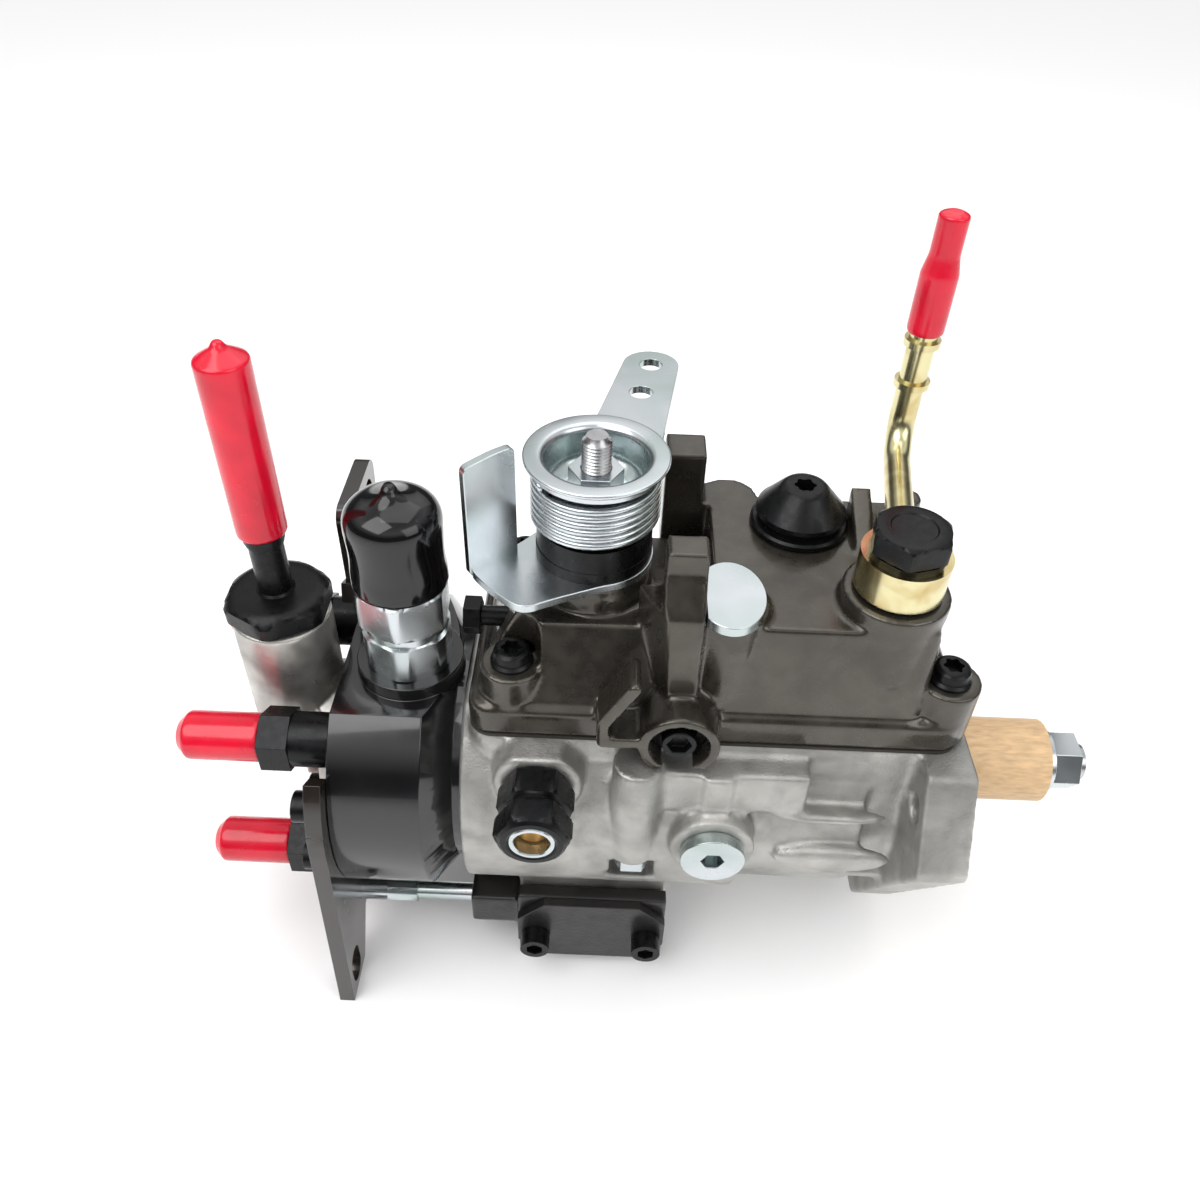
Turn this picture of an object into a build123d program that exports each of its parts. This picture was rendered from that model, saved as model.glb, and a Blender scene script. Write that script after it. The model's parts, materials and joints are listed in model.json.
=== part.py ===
"""Rotary diesel injection pump with a throttle, a stop solenoid and an advance unit.

The X axis is the drive axis and the flange's mounting face lies at X = 0, with the
drive end at +X and the hydraulic head at -X. Z is up, towards the governor cover.
"""

from build123d import *
from math import cos, degrees, hypot, pi, radians, sin
import os

os.makedirs("parts", exist_ok=True)

# Fits, allowances and angles
overrun = 1.0
running_clearance = 0.05
seat_gap = 0.3
soft_gap = 0.3
full_turn = 360.0
quarter_turn = 90.0
half_step = 0.5
hex_sides = 6

# Housing and flange
flange_thickness = 14.5
lobe_reach = 56.0
side_reach = 43.5
lobe_hole_circle = 46.2
lobe_hole_diameter = 9.0
lobe_count = 3
lobe_corner_radius = 5.0
pilot_diameter = 50.0
pilot_length = 5.0
barrel_radius = 44.5
barrel_length = 132.5
barrel_end = flange_thickness + barrel_length
barrel_waist_radius = 41.0
barrel_waist_start = 62.0
neck_radius = 36.0
neck_length = 12.0
gusset_width = 8.0
housing_bore_radius = 34.0
deck_wall = 5.0
seam_height = housing_bore_radius + deck_wall
deck_half_width = 33.0
deck_corner_radius = 7.0
deck_depth = 24.0
cover_right_margin = 3.5
cover_left_margin = 3.0
governor_bay_wall = 5.0
front_wall_thickness = 30.0
governor_bay_length = barrel_end - governor_bay_wall - front_wall_thickness

# Drive shaft
shaft_radius = 12.5
shaft_rear_inset = 52.0
shaft_rear = barrel_end - shaft_rear_inset
shaft_front_radius = 11.0
shaft_front_length = 40.0
shaft_thread_radius = 6.0
shaft_thread_length = 14.0
sleeve_outer = 13.6
sleeve_start = 1.7
shaft_washer_radius = 10.5
shaft_washer_thickness = 2.5
shaft_nut_flats = 17.0
shaft_nut_height = 9.0
key_width = 5.0
key_depth = 3.0
key_projection = 1.2
key_start = 8.0
key_length = 18.0
socket_depth = 6.0
bush_wall = 2.5
seal_radius = 20.0
seal_thickness = 7.0

# Hydraulic head
head_radius = 47.5
head_length = 27.0
head_cone_length = 8.0
head_neck_radius = 38.0
head_rear_reach = 38.0
head_rear = barrel_end + head_rear_reach
spigot_length = 24.0
rotor_radius = 9.5
outlet_offset = 26.2
solenoid_boss_radius = 16.0
solenoid_boss_height = 4.5

# Delivery valve holders and their transit caps
holder_flats = 17.0
holder_hex_length = 9.0
holder_collar_radius = 8.3
holder_collar_length = 12.0
holder_nipple_radius = 6.0
holder_nipple_length = 16.0
holder_outlet_radius = 1.6
holder_thread_radius = 6.0
holder_thread_length = 10.0
delivery_cap_radius = 7.4
delivery_cap_length = 25.4
delivery_cap_end = 2.0
delivery_cap_round = 3.0
delivery_valve_radius = 2.6
delivery_valve_length = 9.0
delivery_valve_lift = 1.5

# Rear bracket
bracket_thickness = 5.0
bracket_ring_lip = 1.1
bracket_ring_reach = 5.5
bracket_ring_inner = head_radius - bracket_ring_lip
bracket_ring_outer = head_radius + bracket_ring_reach
bracket_gap_start = 70.0
bracket_gap_end = 148.0
bracket_hole_diameter = 9.0
bracket_slot_length = 14.0
bracket_slot_y = 50.5
bracket_slot_z = 60.0
bracket_lobe_radius = 8.0
bracket_screw_inset = 5.0
bracket_screw_circle = head_radius - bracket_screw_inset
bracket_screw_angles = (22.0, 163.0, 195.0)
bracket_arm_left = 23.6
bracket_arm_right = 57.0
bracket_arm_top = 73.4
bracket_arm_hole_y = 47.0
bracket_arm_hole_z = 64.5
bracket_waist_outer = 52.0
bracket_waist_z = 12.0
bracket_waist_inner = 26.0
bracket_foot_outer = 59.0
bracket_foot_inner = 42.0
bracket_corner_radius = 5.0
floor_depth = 69.5

# Inlet housing and its connector
inlet_x_reach = 57.0
inlet_x = barrel_end + inlet_x_reach
inlet_y = 2.0
inlet_barrel_radius = 14.8
inlet_barrel_top = 53.0
inlet_barrel_bottom = 12.0
end_plate_radius = 24.5
end_plate_thickness = 9.0
end_plate_web = 11.0
end_plate_web_bottom = 12.0
end_plate_screw_circle = 19.5
end_plate_screw_angles = (205.0, 270.0, 335.0)
inlet_nut_flats = 29.0
inlet_nut_height = 8.5
inlet_nut_chamfer = 2.0
inlet_tube_radius = 5.0
inlet_tube_height = 34.0
inlet_bead_height = 2.4
inlet_bead_level = 18.5
inlet_bead_radius = 5.9
inlet_spigot_radius = 9.0
inlet_spigot_depth = 10.0
inlet_passage_radius = 4.0
inlet_bore_radius = 3.0
inlet_cap_radius = 7.2
inlet_cap_length = 56.5
inlet_cap_wall = 1.2
inlet_cap_end = 3.0
inlet_cap_nub_radius = 2.4
inlet_cap_nub_height = 2.0

# Solenoid
solenoid_x_reach = 17.5
solenoid_x = barrel_end + solenoid_x_reach
solenoid_y = 5.0
solenoid_radius = 13.2
solenoid_visible = 15.5
solenoid_depth = 9.0
solenoid_thread_radius = 10.0
solenoid_flats = 24.5
solenoid_hex_height = 14.0
solenoid_terminal_radius = 9.0
solenoid_terminal_height = 12.0
solenoid_cap_radius = 13.7
solenoid_cap_height = 29.0
solenoid_cap_wall = 1.6
solenoid_cap_round = 7.0
solenoid_nipple_radius = 3.0
solenoid_nipple_height = 3.0
solenoid_plunger_radius = 4.0
solenoid_plunger_length = 19.0
solenoid_plunger_depth = 12.0
solenoid_stroke = 1.5

# Governor cover
gasket_thickness = 1.0
cover_skirt_height = 11.0
cover_bead = 1.5
cover_top = 80.0
cover_wall = 4.0
cover_front_low = 32.0
cover_front_high = 28.0
cover_back_low = 33.0
cover_back_high = 32.0
cover_main_left_inset = 71.0
cover_main_left = barrel_end - cover_main_left_inset
cover_main_right = 15.0
cover_end_right = 5.0
cover_end_front = 8.0
cover_end_top = 72.0
cover_left_end_inset = 6.0
cover_left_end = barrel_end - cover_left_end_inset
cover_left_half = 31.0
cover_left_top = 72.0
cover_left_lean = 11.0
cover_left_wall = 7.0
cover_left_room = 60.0
cover_left_room_half = 19.0
cover_right_taper = 6.0
cover_pad_radius = 8.0
cover_corner_radius = 6.0
cover_lug_radius = 9.0
cover_lug_height = 21.0
cover_screw_head_radius = 6.0
cover_screw_head_height = 5.0
cover_screw_radius = 3.0
cover_screw_depth = 10.0
cover_screw_left_inset = 15.4
cover_screw_left = barrel_end - cover_screw_left_inset
cover_screw_right = 9.5
cover_screw_front = 23.0
screw_clearance = 0.15
tower_radius = 16.0
tower_top = 77.5
tower_flange_radius = 15.5
tower_flange_height = 3.5
bulge_x_inset = 77.0
bulge_x = barrel_end - bulge_x_inset
bulge_y = 32.0
bulge_radius = 9.0
bulge_bottom = 60.0
wedge_x = 32.0
wedge_width = 6.0
wedge_front = 4.0
wedge_back = 26.0
wedge_height = 9.0
stub_x = 13.0
stub_y = 27.0
stub_radius = 4.0
stub_top = 86.0

# Screw boss, hooked web and post on the front of the cover
lock_x_inset = 62.6
lock_x = barrel_end - lock_x_inset
lock_z = 48.2
lock_face = 43.0
lock_outer = 11.2
lock_inner = 8.4
lock_floor = 34.5
lock_slot = 7.5
lock_washer_thickness = 2.0
lock_screw_radius = 4.8
lock_screw_length = 5.0
lock_screw_flats = 6.0
web_thickness = 3.5
web_left_inset = 41.5
web_left = barrel_end - web_left_inset
web_top = 70.0
web_low = 56.0
web_bottom = 47.5
web_back = 31.0
post_front = 34.0
post_bottom = 58.5
post_knee_y = 31.0
post_knee = 84.0
post_neck_y = 24.5
post_neck = 95.0
post_top = 101.0
post_back = 16.0
post_left_inset = 58.7
post_left = barrel_end - post_left_inset
post_back_left_inset = 49.5
post_back_left = barrel_end - post_back_left_inset
post_right_inset = 67.0
post_right = barrel_end - post_right_inset
post_head_left_inset = 56.0
post_head_left = barrel_end - post_head_left_inset

# Breather plug, banjo and leak off pipe
dome_x_inset = 97.0
dome_x = barrel_end - dome_x_inset
dome_y = 19.0
dome_radius = 14.4
dome_flange = 3.0
dome_groove_radius = 12.0
dome_groove = 2.0
dome_lip = 2.0
dome_top_radius = 6.5
dome_height = 14.0
dome_spigot_radius = 7.0
dome_spigot_depth = 3.5
dome_socket_flats = 8.0
dome_socket_depth = 5.0
banjo_x = 28.5
banjo_y = 15.8
banjo_boss_radius = 14.5
banjo_boss_top = 86.0
banjo_boss_bottom = 62.0
banjo_ring_radius = 12.0
banjo_ring_height = 11.0
banjo_ring_inner = 7.5
banjo_bolt_radius = 6.0
banjo_bolt_flats = 19.0
banjo_bolt_head = 7.0
banjo_bolt_depth = 8.0
banjo_washer_thickness = 1.2
banjo_washer_radius = 10.0
leak_pipe_radius = 4.0
leak_pipe_wall = 1.0
leak_pipe_x = 19.0
leak_pipe_back = 45.0
leak_pipe_bend = 12.0
leak_pipe_top = 138.0
leak_bead_radius = 5.2
leak_bead_height = 2.0
leak_bead_levels = (113.0, 126.0)
leak_cap_radius = 5.3
leak_cap_step_radius = 4.2
leak_cap_bottom = 130.0
leak_cap_step = 147.0
leak_cap_top = 164.0
leak_cap_wall = 0.9

# Throttle
throttle_x_inset = 37.0
throttle_x = barrel_end - throttle_x_inset
throttle_y = 1.0
throttle_shaft_radius = 4.0
throttle_shaft_bottom = 46.0
throttle_crank_radius = 8.0
throttle_crank_height = 3.0
throttle_pin_radius = 1.5
throttle_pin_drop = 4.0
stop_plate_thickness = 2.5
stop_plate_radius = 16.8
stop_lobe_x = 18.0
stop_lobe_y = 27.0
upright_outer_x = 34.6
upright_outer_y = 10.3
upright_inner_x = 22.4
upright_inner_y = -1.2
upright_top = 118.0
upright_low_top = 116.5
throttle_washer_radius = 16.2
throttle_washer_thickness = 3.4
collar_radius = 16.0
collar_height = 7.0
hub_radius = 8.0
spring_wire = 2.3
spring_turns = 7
spring_pitch = 2.35
spring_mean_radius = 16.5
cup_rim_radius = 19.4
cup_rim_height = 1.4
cup_radius = 14.8
cup_floor_radius = 10.5
cup_cone = 4.0
cup_depth = 12.5
cup_wall = 1.3
lever_thickness = 2.3
lever_ring_radius = 17.6
lever_hole_near = 36.0
lever_hole_far = 52.6
lever_hole_diameter = 6.8
lever_root_width = 21.0
lever_tip_radius = 8.3
lever_angle = 80.0
lever_offset = 5.4
nyloc_flats = 13.0
nyloc_height = 8.0
stud_tip = 7.0

# Bore of the mechanical stop, closed by a blanking disc
stop_x_inset = 74.0
stop_x = barrel_end - stop_x_inset
stop_y = 20.0
stop_boss_radius = 11.0
stop_boss_top = 82.0
stop_boss_bottom = 52.0
stop_shaft_radius = 4.0
stop_shaft_bottom = 58.0
stop_disc_thickness = 3.0
stop_disc_width = 19.0
stop_disc_length = 27.0

# Timing advance unit
advance_x_inset = 40.5
advance_x = barrel_end - advance_x_inset
advance_z = 54.0
advance_half_length = 24.5
advance_body_half_width = 39.0
advance_flange_thickness = 5.0
advance_bore_radius = 7.5
advance_piston_half_length = 25.0
advance_plate_top = 33.5
advance_plate_bottom = 64.0
advance_plate_round = 9.0
advance_slot_floor = 58.5
advance_spring_radius = 5.5
advance_spring_wire = 1.6
advance_spring_turns = 5
advance_pad_depth = 45.0
advance_cover_thickness = 3.0
advance_screw_spacing = 37.0
advance_screw_level = 51.0
advance_stroke = 4.0
fitting_height = 14.0
support_clearance = 7.42
support_angle = 56.9
support_circle = head_radius + support_clearance
support_y = support_circle * cos(radians(support_angle))
support_z = support_circle * sin(radians(support_angle))
rod_radius = 3.0
rod_hex_flats = 8.0
rod_hex_length = 10.0
rod_hex_start_reach = 19.0
rod_hex_start = barrel_end + rod_hex_start_reach
rod_nut_flats = 10.0
rod_nut_height = 5.0

# Cam ring, plungers, rollers
cam_ring_width = 18.0
cam_base_radius = 25.0
cam_lobe_height = 2.5
cam_lobe_radius = 3.5
cam_lobe_count = 4
roller_radius = 4.5
roller_length = 14.0
plunger_radius = 3.8
plunger_inner = 3.2
shoe_inner = 13.4
shoe_half_width = 6.0
pump_head_radius = 12.5
pump_head_length = 19.0
pump_flat = 10.6
cam_screw_radius = 3.0
cam_ball_radius = 4.0
liner_outer = 15.0
liner_inner = 12.0
liner_offset = 1.2
liner_length = 10.0
blade_thickness = 2.0
blade_inner = 3.5
blade_tip_gap = 0.1
rotor_neck_radius = 8.0

# Governor
cage_x_inset = 63.0
cage_x = barrel_end - cage_x_inset
cage_radius = 29.0
cage_thickness = 3.0
cage_ear_length = 8.0
weight_count = 4
weight_width = 15.0
weight_length = 18.0
weight_pivot_radius = 24.0
weight_pin_radius = 1.5
weight_inner = 19.0
weight_outer = 28.0
weight_toe_thickness = 3.0
sleeve_radius = 16.5
sleeve_length = 13.0
arm_thickness = 3.0
arm_prong_width = 2.6
arm_pivot_level = 34.0
arm_pin_radius = 2.0
arm_pin_seat = 3.0
arm_top_level = 60.0
arm_hub_radius = 4.5
arm_fork_reach = 4.0
arm_fork_inner = 13.4
arm_fork_top = sleeve_radius + 2 * soft_gap
arm_top_width = 8.0
ear_width = 2.5
ear_inner = 20.5
ear_outer = 27.5
toe_inner = 14.5
link_radius = 1.2
link_level = 54.0
link_clearance = 0.5
metering_x_inset = 19.0
metering_x = barrel_end - metering_x_inset
metering_radius = 3.5
metering_bottom = 16.0
metering_stem_radius = 2.0
metering_shoulder = 30.0
metering_lever_level = 49.5
metering_lever_length = 9.0
metering_lever_thickness = 2.0
metering_eye_radius = 3.4

# Side fittings on the front of the housing
adaptor_x_inset = 23.5
adaptor_x = barrel_end - adaptor_x_inset
adaptor_z = 28.0
adaptor_boss_radius = 13.0
adaptor_boss_face = 42.0
adaptor_flats = 19.0
adaptor_length = 19.5
adaptor_ring_radius = 6.6
adaptor_ring_wall = 1.6
adaptor_seat = 30.0
adaptor_thread_radius = 8.0
adaptor_bore_depth = 6.0
adaptor_cone = 4.0
plug_x_inset = 75.0
plug_x = barrel_end - plug_x_inset
plug_z = 9.5
plug_face = 48.0
plug_boss_radius = 12.5
plug_radius = 9.4
plug_thickness = 4.0
plug_hex_flats = 6.0
plug_thread_radius = 7.0
plug_thread_length = 10.0
gallery_x_inset = 52.0
gallery_x = barrel_end - gallery_x_inset
gallery_y = 40.0
gallery_radius = 7.3
gallery_bottom = -2.0
gallery_pocket = 14.0
gallery_plug_flats = 11.0
gallery_plug_height = 5.0
gallery_thread_radius = 4.0
gallery_thread_length = 8.0
ledge_left_inset = 59.0
ledge_left = barrel_end - ledge_left_inset
ledge_right = 46.0
ledge_top = 36.0
ledge_bottom = 20.0
ledge_face = 42.0

# Socket head screws, all of one size
socket_head_radius = 4.8
socket_head_height = 6.0
socket_screw_radius = 3.0
socket_screw_depth = 9.0
socket_flats = 5.0
recess_depth = 2.5
cover_recess_radius = 2.8

# Stop screws of the throttle
idle_screw_x = barrel_end
idle_screw_y = 5.0
idle_screw_z = 60.0
idle_screw_flats = 10.0
idle_screw_head = 5.0
idle_screw_radius = 3.0
speed_block_x_inset = 63.0
speed_block_x = barrel_end - speed_block_x_inset
speed_block_y = 33.0
speed_block_size = 12.0
speed_block_top = 97.0
speed_screw_length = 22.0

# Places that several pieces share
sleeve_gap_level = -cage_x + cage_thickness
weight_x = sleeve_gap_level + cage_ear_length / 2
toe_face = weight_x + weight_toe_thickness / 2
governor_sleeve_left = toe_face + seat_gap
governor_sleeve_right = governor_sleeve_left + sleeve_length
arm_x = -(governor_sleeve_right + seat_gap + arm_thickness / 2)
trunnion_half_length = housing_bore_radius / 2 + arm_pin_seat
roller_place = cam_base_radius - roller_radius - running_clearance
barrel_rear = -barrel_end
head_face = -head_rear
deck_left = barrel_rear + cover_left_margin
deck_right = -cover_right_margin
cover_base = seam_height + gasket_thickness
plate_level = tower_top + tower_flange_height + seat_gap
washer_level = plate_level + stop_plate_thickness
collar_level = washer_level + throttle_washer_thickness
spring_level = collar_level + collar_height + seat_gap
lever_level = spring_level + spring_turns * spring_pitch + seat_gap
cup_rim_level = lever_level + lever_thickness
cup_floor = cup_rim_level - cup_depth
solenoid_seat = seam_height + solenoid_boss_height
throttle_centre = (-throttle_x, -throttle_y)
outlets = [(sy * outlet_offset, sz * outlet_offset) for sy in (-1, 1) for sz in (-1, 1)]


# Each helper adds a plain form to the part that is being built
def rod_x(start, end, radius, y=0, z=0, mode=Mode.ADD):
    with BuildSketch(Plane.YZ.offset(start)) as profile:
        with Locations((y, z)):
            Circle(radius)
    extrude(profile.sketch, amount=end - start, mode=mode)


def rod_z(start, end, radius, x=0, y=0, mode=Mode.ADD):
    with BuildSketch(Plane.XY.offset(start)) as profile:
        with Locations((x, y)):
            Circle(radius)
    extrude(profile.sketch, amount=end - start, mode=mode)


def rod_y(start, end, radius, x=0, z=0, mode=Mode.ADD):
    with BuildSketch(Plane.XZ.offset(-start)) as profile:
        with Locations((x, z)):
            Circle(radius)
    extrude(profile.sketch, amount=start - end, mode=mode)


def hex_x(start, end, flats, y=0, z=0, turn=0, mode=Mode.ADD):
    with BuildSketch(Plane.YZ.offset(start)) as profile:
        with Locations((y, z)):
            RegularPolygon(flats / 2, hex_sides, major_radius=False, rotation=turn)
    extrude(profile.sketch, amount=end - start, mode=mode)


def hex_z(start, end, flats, x=0, y=0, turn=0, mode=Mode.ADD):
    with BuildSketch(Plane.XY.offset(start)) as profile:
        with Locations((x, y)):
            RegularPolygon(flats / 2, hex_sides, major_radius=False, rotation=turn)
    extrude(profile.sketch, amount=end - start, mode=mode)


def hex_y(start, end, flats, x=0, z=0, mode=Mode.ADD):
    with BuildSketch(Plane.XZ.offset(-start)) as profile:
        with Locations((x, z)):
            RegularPolygon(flats / 2, hex_sides, major_radius=False)
    extrude(profile.sketch, amount=start - end, mode=mode)


def block(x_span, y_span, z_span, mode=Mode.ADD):
    with BuildSketch(Plane.XY.offset(z_span[0])) as profile:
        with Locations(((x_span[0] + x_span[1]) / 2, (y_span[0] + y_span[1]) / 2)):
            Rectangle(x_span[1] - x_span[0], y_span[1] - y_span[0])
    extrude(profile.sketch, amount=z_span[1] - z_span[0], mode=mode)


def turned_x(points, y=0, z=0, mode=Mode.ADD):
    """Revolve a closed outline of (x, radius) points about an axis along X."""
    with BuildSketch(Plane(origin=(0, y, z), x_dir=(1, 0, 0), z_dir=(0, -1, 0))) as profile:
        with BuildLine():
            Polyline(*points, close=True)
        make_face()
    revolve(profile.sketch, axis=Axis((0, y, z), (1, 0, 0)), mode=mode)


def turned_z(points, x, y, mode=Mode.ADD):
    """Revolve a closed outline of (radius, z) points about a vertical axis."""
    with BuildSketch(Plane(origin=(x, y, 0), x_dir=(1, 0, 0), z_dir=(0, -1, 0))) as profile:
        with BuildLine():
            Polyline(*points, close=True)
        make_face()
    revolve(profile.sketch, axis=Axis((x, y, 0), (0, 0, 1)), mode=mode)


def save(builder, name):
    builder.part.label = name
    export_step(builder.part, "parts/" + name + ".step")


# Main casting
def flange_outline():
    """Six corners of the rounded triangle: three lobe ends joined by three long sides."""
    half_end = (side_reach - lobe_reach * cos(pi / lobe_count)) / sin(pi / lobe_count)
    corners = []
    for number in range(lobe_count):
        angle = radians(full_turn / lobe_count * number - quarter_turn)
        for side in (-1, 1):
            y = lobe_reach * cos(angle) - side * half_end * sin(angle)
            z = lobe_reach * sin(angle) + side * half_end * cos(angle)
            corners.append((y, z))
    return corners


def lobe_holes():
    angles = [radians(full_turn / lobe_count * number - quarter_turn) for number in range(lobe_count)]
    return [(lobe_hole_circle * cos(a), lobe_hole_circle * sin(a)) for a in angles]


def cover_screw_places():
    return [(-x, sy * cover_screw_front)
            for x in (cover_screw_left, cover_screw_right) for sy in (-1, 1)]


def polar(radius, angle):
    return radius * cos(radians(angle)), radius * sin(radians(angle))


def cover_outline(grow=0):
    """Seam outline, shared by the housing deck, the gasket and the cover skirt."""
    with BuildSketch(Plane.XY) as outline:
        with Locations(((deck_left + deck_right) / 2, 0)):
            RectangleRounded(deck_right - deck_left + 2 * grow,
                             2 * (deck_half_width + grow), deck_corner_radius + grow)
    return outline.sketch


bore_end = -front_wall_thickness
bay_left = bore_end - governor_bay_length

with BuildPart() as pump_housing:
    rod_x(barrel_rear, -barrel_waist_start, barrel_radius)
    rod_x(-barrel_waist_start, -flange_thickness - neck_length, barrel_waist_radius)
    rod_x(-flange_thickness - neck_length, -flange_thickness, neck_radius)
    with BuildSketch(Plane.YZ.offset(-flange_thickness)) as flange_face:
        with BuildLine():
            Polyline(*flange_outline(), close=True)
        make_face()
        fillet(flange_face.vertices(), lobe_corner_radius)
    extrude(flange_face.sketch, amount=flange_thickness)
    rod_x(0, pilot_length, pilot_diameter / 2)
    for number in range(lobe_count):
        angle = radians(full_turn / lobe_count * (number + half_step) - quarter_turn)
        with BuildSketch(Plane.YZ.offset(-flange_thickness - neck_length)) as gusset_profile:
            with Locations((neck_radius * cos(angle), neck_radius * sin(angle))):
                Rectangle(gusset_width, gusset_width, rotation=degrees(angle))
        extrude(gusset_profile.sketch, amount=neck_length)
    extrude(Plane.XY.offset(seam_height - deck_depth) * cover_outline(), amount=deck_depth)
    # Raised forms on the front side
    rod_z(gallery_bottom - gallery_pocket, gallery_bottom, gallery_radius,
          -gallery_x, -gallery_y, mode=Mode.SUBTRACT)
    rod_y(-adaptor_boss_face, 0, adaptor_boss_radius, -adaptor_x, adaptor_z)
    rod_y(-plug_face, 0, plug_boss_radius, -plug_x, plug_z)
    rod_z(gallery_bottom, seam_height, gallery_radius, -gallery_x, -gallery_y)
    block((-ledge_left, -ledge_right), (-ledge_face, 0), (ledge_bottom, ledge_top))
    block((-plug_x - gusset_width / 2, -plug_x + gusset_width / 2),
          (-ledge_face - gusset_width / 4, 0), (plug_z, ledge_top))
    block((barrel_rear, 0), (-lobe_reach, lobe_reach),
          (seam_height, seam_height + lobe_reach), mode=Mode.SUBTRACT)
    # Pad for the advance unit
    pad_half = advance_body_half_width - advance_flange_thickness - overrun
    block((-advance_x - advance_half_length, -advance_x + advance_half_length),
          (-pad_half, pad_half), (-advance_pad_depth, 0))
    # Inner bores
    rod_x(barrel_rear - overrun, bore_end, housing_bore_radius, mode=Mode.SUBTRACT)
    rod_x(bore_end - overrun, overrun, shaft_radius + bush_wall, mode=Mode.SUBTRACT)
    rod_x(-seal_thickness, pilot_length + overrun, seal_radius, mode=Mode.SUBTRACT)
    block((bay_left, bore_end), (-housing_bore_radius / 2, housing_bore_radius / 2),
          (0, seam_height + overrun), mode=Mode.SUBTRACT)
    rod_z(-advance_pad_depth - overrun, 0, cam_screw_radius + advance_stroke + overrun,
          -advance_x, 0, mode=Mode.SUBTRACT)
    for y, z in lobe_holes():
        rod_x(-flange_thickness - overrun, overrun, lobe_hole_diameter / 2, y, z,
              mode=Mode.SUBTRACT)
    for x, y in cover_screw_places():
        rod_z(seam_height - cover_screw_depth, seam_height + overrun,
              cover_screw_radius + screw_clearance, x, y, mode=Mode.SUBTRACT)
    # Seats of the arm's trunnions and of the side fittings
    rod_y(-trunnion_half_length, trunnion_half_length, arm_pin_radius + running_clearance,
          -arm_x, arm_pivot_level, mode=Mode.SUBTRACT)
    rod_y(-adaptor_boss_face - overrun, -adaptor_seat, adaptor_thread_radius,
          -adaptor_x, adaptor_z, mode=Mode.SUBTRACT)
    rod_y(-plug_face - overrun, -plug_face + plug_thread_length, plug_thread_radius,
          -plug_x, plug_z, mode=Mode.SUBTRACT)
    rod_z(gallery_bottom - overrun, gallery_bottom + gallery_thread_length,
          gallery_thread_radius, -gallery_x, -gallery_y, mode=Mode.SUBTRACT)
save(pump_housing, "pump_housing")


# Drive shaft and what turns with it
shaft_step = shaft_front_length

with BuildPart() as shaft_bush:
    rod_x(bore_end, -seal_thickness, shaft_radius + bush_wall - running_clearance)
    rod_x(bore_end - overrun, overrun, shaft_radius + running_clearance, mode=Mode.SUBTRACT)
save(shaft_bush, "shaft_bush")

with BuildPart() as shaft_seal:
    rod_x(-seal_thickness, 0, seal_radius - running_clearance)
    rod_x(-seal_thickness - overrun, overrun, shaft_radius + running_clearance, mode=Mode.SUBTRACT)
save(shaft_seal, "shaft_seal")

with BuildPart() as drive_shaft:
    rod_x(-shaft_rear, 0, shaft_radius)
    rod_x(0, shaft_step, shaft_front_radius)
    rod_x(shaft_step, shaft_step + shaft_thread_length, shaft_thread_radius)
    rod_x(-shaft_rear - overrun, -shaft_rear + socket_depth, rotor_neck_radius + running_clearance,
          mode=Mode.SUBTRACT)
    block((key_start, key_start + key_length), (-key_width / 2, key_width / 2),
          (shaft_front_radius - key_depth, shaft_front_radius + overrun), mode=Mode.SUBTRACT)
save(drive_shaft, "drive_shaft")

with BuildPart() as shaft_key:
    block((key_start, key_start + key_length), (-key_width / 2, key_width / 2),
          (shaft_front_radius - key_depth, shaft_front_radius + key_projection))
save(shaft_key, "shaft_key")

with BuildPart() as shaft_nut:
    nut_start = shaft_step + shaft_washer_thickness
    rod_x(shaft_step, nut_start, shaft_washer_radius)
    rod_x(shaft_step - overrun, nut_start + overrun, shaft_thread_radius + running_clearance,
          mode=Mode.SUBTRACT)
    with BuildSketch(Plane.YZ.offset(nut_start)) as nut_profile:
        RegularPolygon(shaft_nut_flats / 2, hex_sides, major_radius=False)
        Circle(shaft_thread_radius + running_clearance, mode=Mode.SUBTRACT)
    extrude(nut_profile.sketch, amount=shaft_nut_height)
save(shaft_nut, "shaft_nut")

with BuildPart() as shaft_sleeve:
    rod_x(sleeve_start, shaft_step - soft_gap, sleeve_outer)
    rod_x(0, shaft_step + overrun, shaft_front_radius + key_projection + soft_gap, mode=Mode.SUBTRACT)
save(shaft_sleeve, "shaft_sleeve")

rotor_rear = head_face + seat_gap
pump_right = -advance_x + pump_head_length / 2
pump_left = -advance_x - pump_head_length / 2
spigot_end = barrel_rear + spigot_length

with BuildPart() as distributor_rotor:
    rod_x(rotor_rear, spigot_end, rotor_radius - running_clearance)
    rod_x(spigot_end, pump_left, rotor_neck_radius)
    rod_x(pump_left, pump_right, pump_head_radius)
    rod_x(pump_right, -shaft_rear + socket_depth - seat_gap, rotor_neck_radius)
    for side in (-1, 1):
        flat_span = sorted((side * pump_flat, side * (pump_head_radius + overrun)))
        block((pump_left - overrun, pump_right + overrun), flat_span,
              (-pump_head_radius, pump_head_radius), mode=Mode.SUBTRACT)
    rod_y(-pump_head_radius, pump_head_radius, plunger_radius + running_clearance,
          -advance_x, 0, mode=Mode.SUBTRACT)
    block((rotor_rear - overrun, head_face + liner_length), (-blade_thickness / 2, blade_thickness / 2),
          (-rotor_radius, rotor_radius), mode=Mode.SUBTRACT)
    # Two vanes of the transfer pump stand in the slot as solids of their own
    blade_reach = liner_inner - liner_offset - blade_tip_gap
    for side in (-1, 1):
        blade_span = sorted((side * blade_inner, side * blade_reach))
        block((rotor_rear, head_face + liner_length - seat_gap),
              (-blade_thickness / 2 + running_clearance, blade_thickness / 2 - running_clearance),
              blade_span)
save(distributor_rotor, "distributor_rotor")

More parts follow.
